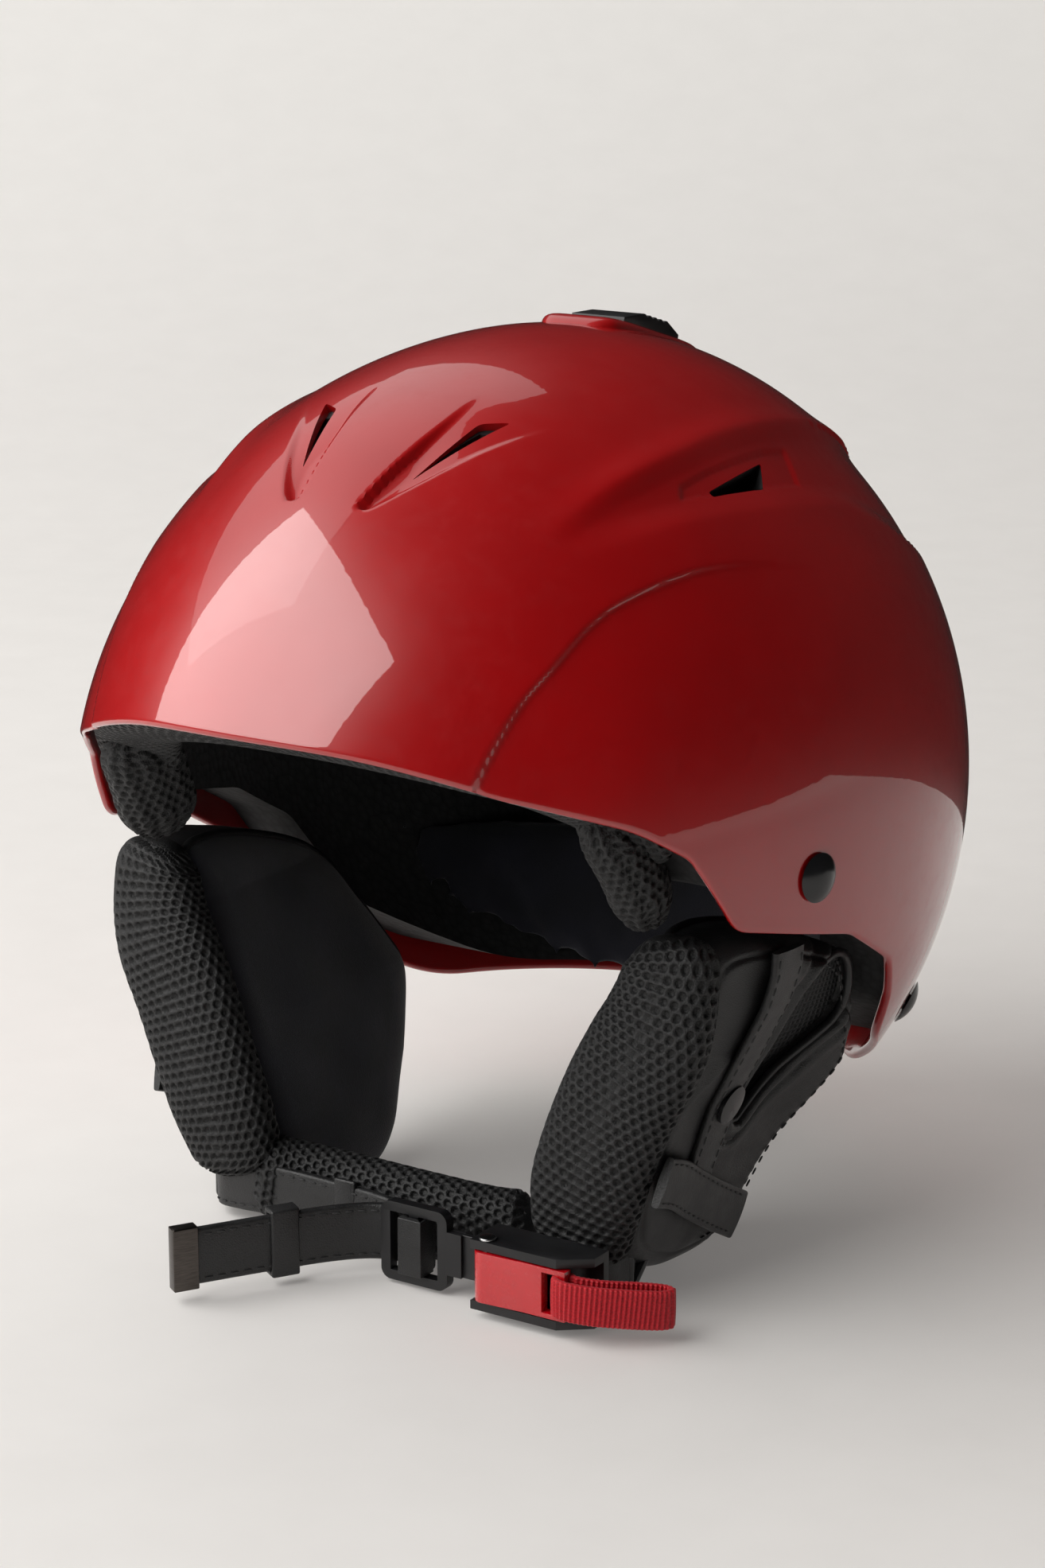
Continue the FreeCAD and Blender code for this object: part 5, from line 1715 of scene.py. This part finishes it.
    def front_mesh(self) -> None:
        """Builds the spacer-mesh panel that wraps the pad's front edge."""
        heights = np.array([105.0, 95, 80, 62, 46, 32, 20, 13])
        front = np.array([-56.0, -57.5, -59.5, -61.0, -61.5, -60.5, -58.0, -56.0])
        middle = np.interp(heights, [p[1] for p in self.face[::-1]], [p[0] for p in self.face[::-1]]) - 16.5
        middle -= np.array([3.0, 1.0, 0, 0, 0, 0, 0, 0])
        count = 380
        path = smooth_path([(x * self.side.value, y, z) for x, y, z in zip(middle, front, heights)], count)
        share = np.linspace(0, 1, count)
        half_wide = 12.0 + 4.0 * smoothstep(share / 0.35) - 2.5 * smoothstep((share - 0.75) / 0.25)
        lean = np.tile(np.array([float(self.side.value), 0.0, -0.2]), (count, 1))
        roll = Roll(self.name("mesh_front"), path, lean, half_wide, np.full(count, 7.5), power=2.7,
                    around=220, pitch=3.0, hole=0.98, sink=0.95, end_round=9.0)
        piece = finish_object(self.name("mesh_front"), roll.mesh(), self.body, Finish.MESH, sharp=80)
        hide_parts(self.name("ear_bolster"))

    def grille(self) -> None:
        """Builds the moulded ring inside the ear rim and its net."""
        ring = self.teardrop(0.4, 160)
        tube = tube_mesh(self.name("ear_ring"), self.on_face(ring[:, 0], ring[:, 1], -1.2), 1.3, closed=True)
        piece = finish_object(self.name("ear_ring"), tube, self.body, Finish.PLASTIC)
        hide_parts(self.name("grille_ring"))
        edge = self.teardrop(1.6, 90)
        flat = self.disc(edge, (-6, 68), 24)
        dish = self.on_face(flat[:, 0], flat[:, 1], -4.2)
        back = self.on_face(edge[:, 0], edge[:, 1], -5.2)
        points = np.vstack([dish, back, back.mean(axis=0)[None], dish[:90].mean(axis=0)[None]])
        faces = grid_faces(25, 90, True)
        faces += [(25 * 90, 24 * 90 + i, 24 * 90 + (i + 1) % 90) for i in range(90)]
        faces += [(25 * 90 + 1, (i + 1) % 90, i) for i in range(90)]
        mesh = mesh_of(self.name("ear_net"), points, faces)
        outward(mesh)
        net = finish_object(self.name("ear_net"), mesh, self.body, Finish.NET)
        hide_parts(self.name("grille_mesh"))

    def strip(self, tag: str, corners: Sequence, width: float, out: float, up: np.ndarray,
              inset: float) -> bpy.types.Object:
        """A stitched leather strip on the pad's face.

        Args:
            tag: The piece's name.
            corners: Its line on the face, as (y, z).
            width: Its width.
            out: Distance of its middle out of the face.
            up: Direction across it.
            inset: Distance of the seams from its edges.

        Returns:
            The strip.
        """
        line = smooth_path(corners, 90)
        points = self.on_face(line[:, 0], line[:, 1], out)
        strap = Strap(self.name(tag), points, np.tile(up, (90, 1)), width, 2.0, crown=0.35)
        piece = finish_object(self.name(tag), strap.mesh(), self.body, Finish.LEATHER)
        facing = strap.frames()[2][45][0] * self.side.value > 0
        seam = stitch_mesh(self.name(tag + "_seam"), strap.seam(inset, outer=facing))
        finish_object(self.name(tag + "_seam"), seam, self.body, Finish.STITCH)
        return piece

    def band(self) -> None:
        """Builds the stitched leather band and its snap."""
        piece = self.strip("stitched_band", self.band_line, self.band_width, 1.1, np.array([0.0, 1.0, 0.0]),
                           1.7)
        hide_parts(self.name("leather_band"))
        softened(self.name("band_snap"), self.body, Finish.RIVET, 0.5)

    def keeper(self) -> None:
        """Builds the leather keeper that slants round the pad's lower end."""
        up = np.array([0.15 * self.side.value, 0.42, 1.0])
        line = [(-60, 40), (-50, 36), (-38, 29), (-24, 21), (-9, 13)]
        piece = self.strip("keeper_loop", line, 13.5, 3.4, up, 1.5)
        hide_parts(self.name("band_keeper"))


# ---------------------------------------------------------------- chin strap
@dataclass
class ChinStrap:
    """Leather straps on the rings, the padded chin sleeve, the adjuster and its tail."""

    strap_middle: float = 12.0
    leather: float = 2.4

    def leather_strap(self, name: str, corners: Sequence[Sequence[float]], width: float, body: str, node: str,
                      stitched: bool = True, count: int = 90) -> bpy.types.Object:
        """One flat leather strap that stands on edge.

        Args:
            name: The piece's name.
            corners: Path corners, each x, y, z.
            width: The strap's width.
            body: The body that it rides on.
            node: The CAD node that it stands for.
            stitched: Whether it has sewn borders.
            count: Points along it.

        Returns:
            The strap piece.
        """
        path = smooth_path(corners, count)
        up = np.tile(np.array([0.0, 0.0, 1.0]), (count, 1))
        strap = Strap(name, path, up, width, self.leather, crown=0.25)
        piece = finish_object(name, strap.mesh(), body, Finish.LEATHER)
        if node:
            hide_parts(node)
        if stitched:
            for tag, outer in (("front", True), ("back", False)):
                seam = stitch_mesh(name + "_seam_" + tag, strap.seam(1.7, outer=outer))
                finish_object(name + "_seam_" + tag, seam, body, Finish.STITCH)
        return piece

    def build(self) -> None:
        """Builds the strap's pieces."""
        middle = self.strap_middle
        for side in Side:
            dress_node("strap_ring_" + side.word, Finish.RIVET)
        self.leather_strap("ring_strap_left",
                           [(66, -50.5, 9), (66.3, -56, 10), (65.5, -62, 11), (61, -65.6, middle),
                            (52, -66.2, middle)],
                           13.0, "strap_left", "left_strap", count=60)
        self.leather_strap("ring_strap_right",
                           [(-66, -50.5, 9), (-62, -57, 10), (-54, -59.4, 11), (-40, -60.3, middle),
                            (-20, -60.8, middle),
                                                (-2, -62.6, middle), (9, -66.6, middle)], 14.5,
                           "strap_right", "right_strap")
        self.chin_sleeve()
        softened("pad_keeper", "strap_right", Finish.LEATHER, 0.6)
        self.adjuster()

    def chin_sleeve(self) -> None:
        """Builds the padded mesh sleeve under the chin."""
        corners = [(-50, -58, 15), (-38, -53.5, 13), (-20, -51.5, 12), (5, -52, 12), (24, -51.5, 12),
                   (37, -50, 13)]
        count = 380
        path = smooth_path(corners, count)
        up = np.tile(np.array([0.0, 0.0, 1.0]), (count, 1))
        roll = Roll("chin_sleeve", path, up, np.full(count, 11.5), np.full(count, 7.5), power=2.6,
                    around=180, pitch=3.0, hole=0.98, sink=0.9, end_round=6.0)
        piece = finish_object("chin_sleeve", roll.mesh(), "strap_right", Finish.MESH, sharp=80)
        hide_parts("chin_pad")

    def adjuster(self) -> None:
        """Builds the ladder lock, comb, tail and end cap."""
        middle = self.strap_middle
        softened("ladder_lock", "strap_adjuster", Finish.PLASTIC, 0.9)
        softened("ratchet_comb", "strap_adjuster", Finish.PLASTIC, 0.2)
        softened("lock_wrap", "strap_adjuster", Finish.LEATHER, 1.0)
        self.leather_strap("tail_leather",
                           [(15.5, -67.4, middle), (6, -67.2, middle), (-2, -69.5, middle),
                            (-10, -77, middle),
                                            (-20, -91.5, middle), (-34, -114, middle)], 15.6,
                           "strap_adjuster", "tail_strap")
        softened("tail_keeper", "strap_adjuster", Finish.LEATHER, 0.8)
        softened("end_cap", "strap_adjuster", Finish.GUNMETAL, 0.35)


@dataclass
class Buckle:
    """Ratchet buckle with its red lever and webbing pull tab."""

    tab_width: float = 10.5
    tab_thickness: float = 1.5

    def build(self) -> None:
        """Builds the buckle's pieces."""
        softened("buckle_base", "strap_left", Finish.PLASTIC, 0.7)
        softened("buckle_pin", "strap_left", Finish.STEEL, 0.3)
        dress_node("buckle_spring", Finish.STEEL)
        softened("release_lever", "release_lever", Finish.LEVER, 0.7)
        dress_node("release_pawl", Finish.STEEL)
        self.pull_tab()

    def pull_tab(self) -> None:
        """Builds the ribbed webbing loop."""
        corners = [(62.2, -77.0, 12), (62.0, -80.6, 12), (66, -82.4, 12), (73, -80.6, 11.6),
                   (81, -75.5, 10.8), (87.2, -70.0, 10),
                   (88.5, -66.5, 9.8), (85.5, -66.0, 10), (80, -69.5, 10.6), (73, -75.0, 11.4),
                   (67, -77.6, 12), (64, -76.6, 12)]
        count = 420
        path = smooth_path(corners, count, closed=True)
        up = np.tile(np.array([0.0, 0.0, 1.0]), (count, 1))
        tape = Strap("pull_tape", path, up, self.tab_width, self.tab_thickness, edge=0.5, rib=0.22,
                     rib_pitch=1.25,
                     crown=0.1, closed=True)
        piece = finish_object("pull_tape", tape.mesh(), "pull_tab", Finish.WEB, sharp=70)
        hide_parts("pull_tab")


@dataclass
class GoggleClip:
    """Hinged clip at the back that holds a goggle strap."""

    def build(self) -> None:
        """Builds the clip's pieces."""
        softened("clip_base", "shell", Finish.PLASTIC, 0.6)
        softened("clip_flap", "goggle_clip", Finish.LEATHER, 0.8)
        softened("clip_snap", "goggle_clip", Finish.RIVET, 0.3)
        dress_node("clip_pin", Finish.STEEL)
        dress_node("clip_stud", Finish.STEEL)


@dataclass
class Rivets:
    """Domed strap rivets and their washers."""

    def build(self) -> None:
        """Rounds and dresses the rivets."""
        softened("front_strap_rivets", "shell", Finish.RIVET, 0.4)
        softened("rear_strap_rivets", "shell", Finish.RIVET, 0.4)
        dress_node("rivet_washers", Finish.STEEL)


@dataclass
class InnerShells:
    """Impact foam and the crown's comfort liner."""

    def build(self) -> None:
        """Dresses the foam and softens the crown liner."""
        dress_node("foam_liner", Finish.FOAM)
        piece = inflated("crown_liner", "shell", Finish.VELOUR, "crown_comfort", cap=0.8, voxel=3.2,
                         shrink=0.3)
        log.info("crown liner has %d faces", len(piece.data.polygons))


# ---------------------------------------------------------------- studio
@dataclass(frozen=True)
class SoftBox:
    """One soft lamp, in degrees round from the camera and above the level, metres and watts."""

    name: str
    turn: float
    rise: float
    distance: float
    size: tuple[float, float]
    power: float
    colour: tuple[float, float, float]
    mirrored: bool = True


LAMPS = (SoftBox("key_box", -71, 38, 1.5, (2.0, 1.5), 36, (1.0, 0.99, 0.97)),
         SoftBox("edge_glow", -135, 48, 1.8, (2.2, 1.2), 6, (1.0, 0.98, 0.97)),
         SoftBox("top_fill", -80, 80, 1.9, (1.6, 1.6), 2.5, (1.0, 0.98, 0.97), False),
         SoftBox("wall_wash", -60, 62, 2.6, (2.4, 2.4), 3, (1.0, 0.98, 0.96), False))


@dataclass
class Studio:
    """Pale floor and backdrop, soft lights and the camera."""

    turn: float = 33.0
    tilt: float = 15.0
    distance: float = 1.0
    focal: float = 84.0
    target: tuple = (0.0, 0.0, 0.1195)

    def backdrop(self) -> None:
        """A floor that curves up into a wall behind the helmet."""
        profile = [(-3.0, 0.0), (0.35, 0.0), (0.9, 0.0)]
        for t in np.linspace(0, math.pi / 2, 16):
            profile.append((0.9 + 1.2 * math.sin(t), 1.2 - 1.2 * math.cos(t)))
        profile.append((2.1, 5.0))
        paper = self.paper()
        self.sweep("floor", profile[:2], paper, True)
        self.sweep("wall", profile[1:], paper, False)

    def sweep(self, name: str, profile: Sequence[tuple], paper: bpy.types.Material, mirrored: bool) -> None:
        """One wide piece of the backdrop.

        Args:
            name: The piece's name.
            profile: Its line, as (distance behind the helmet, height).
            paper: Its material.
            mirrored: Whether glossy surfaces show it.
        """
        way = math.radians(self.turn)
        back = np.array([-math.sin(way), math.cos(way)])
        right = np.array([math.cos(way), math.sin(way)])
        points = []
        for far, high in profile:
            for across in (-5.0, 5.0):
                plan = back * far + right * across
                points.append((plan[0], plan[1], high - 0.0002))
        mesh = bpy.data.meshes.new(name)
        mesh.from_pydata(points, [], grid_faces(len(profile), 2, False))
        mesh.update()
        mesh.shade_smooth()
        mesh.materials.append(paper)
        piece = bpy.data.objects.new(name, mesh)
        piece.visible_glossy = mirrored
        bpy.context.scene.collection.objects.link(piece)

    def paper(self) -> bpy.types.Material:
        """Warm grey paper with a painted glow that grows towards the back of the room.

        Returns:
            The material.
        """
        kit = NodeKit("grey_paper_painted_glow")
        grain = kit.add("TexNoise", Scale=1.0, Detail=5.0)
        kit.link(kit.position(35), grain.inputs["Vector"])
        colour = kit.ramp(grain.outputs[0], [(0.3, (0.60, 0.585, 0.57)), (0.7, (0.62, 0.605, 0.59))])
        kit.link(colour, kit.shader.inputs["Base Color"])
        # Painted light: the paper glows, more strongly further from the helmet.
        reach = kit.add("TexGradient", gradient_type="SPHERICAL")
        kit.link(kit.position(0.4), reach.inputs["Vector"])
        stops = [(0.0, (0.55, 0.545, 0.515)), (0.5, (0.25, 0.24, 0.232)), (0.9, (0.14, 0.133, 0.129))]
        kit.link(kit.ramp(reach.outputs[1], stops), kit.shader.inputs["Emission Color"])
        kit.set(Roughness=0.85, Specular_IOR_Level=0.2, Emission_Strength=1.0)
        return kit.material

    def light(self, box: SoftBox) -> None:
        """One soft box aimed at the helmet.

        Args:
            box: The lamp's place, size and power.
        """
        data = bpy.data.lights.new(box.name, "AREA")
        data.shape = "RECTANGLE"
        data.size, data.size_y = box.size
        data.energy = box.power
        data.color = box.colour
        lamp = bpy.data.objects.new(box.name, data)
        lamp.visible_glossy = box.mirrored
        bpy.context.scene.collection.objects.link(lamp)
        a, e = math.radians(self.turn + box.turn), math.radians(box.rise)
        way = Vector((math.sin(a) * math.cos(e), -math.cos(a) * math.cos(e), math.sin(e)))
        target = Vector(self.target)
        lamp.location = target + way * box.distance
        lamp.rotation_euler = way.to_track_quat("Z", "Y").to_euler()

    def camera(self) -> None:
        """The camera at the wanted viewing angle."""
        data = bpy.data.cameras.new("view")
        data.lens = self.focal
        data.sensor_width = 36.0
        data.clip_end = 30.0
        eye = bpy.data.objects.new("view", data)
        bpy.context.scene.collection.objects.link(eye)
        a, e = math.radians(self.turn), math.radians(self.tilt)
        way = Vector((math.sin(a) * math.cos(e), -math.cos(a) * math.cos(e), math.sin(e)))
        eye.location = Vector(self.target) + way * self.distance
        eye.rotation_euler = way.to_track_quat("Z", "Y").to_euler()
        bpy.context.scene.camera = eye

    def build(self) -> None:
        """Builds the stage, the lights and the camera."""
        self.backdrop()
        self.camera()
        for box in LAMPS:
            self.light(box)
        world = bpy.data.worlds.new("room")
        world.use_nodes = True
        sky = world.node_tree.nodes["Background"]
        sky.inputs[0].default_value = (0.9, 0.89, 0.87, 1)
        sky.inputs[1].default_value = 0.02
        bpy.context.scene.world = world
        bpy.context.scene.view_settings.view_transform = "Standard"


def main() -> None:
    """Builds the helmet's looks in order."""
    logging.basicConfig(level=logging.INFO, format="%(name)s %(message)s")
    Studio().build()
    ShellSkin().build()
    CrownRail().build()
    Rivets().build()
    GoggleClip().build()
    InnerShells().build()
    BrowRoll().build()
    NeckPad().build()
    for side in Side:
        EarPad(side).build()
    ChinStrap().build()
    Buckle().build()


if __name__ == "__main__":
    main()
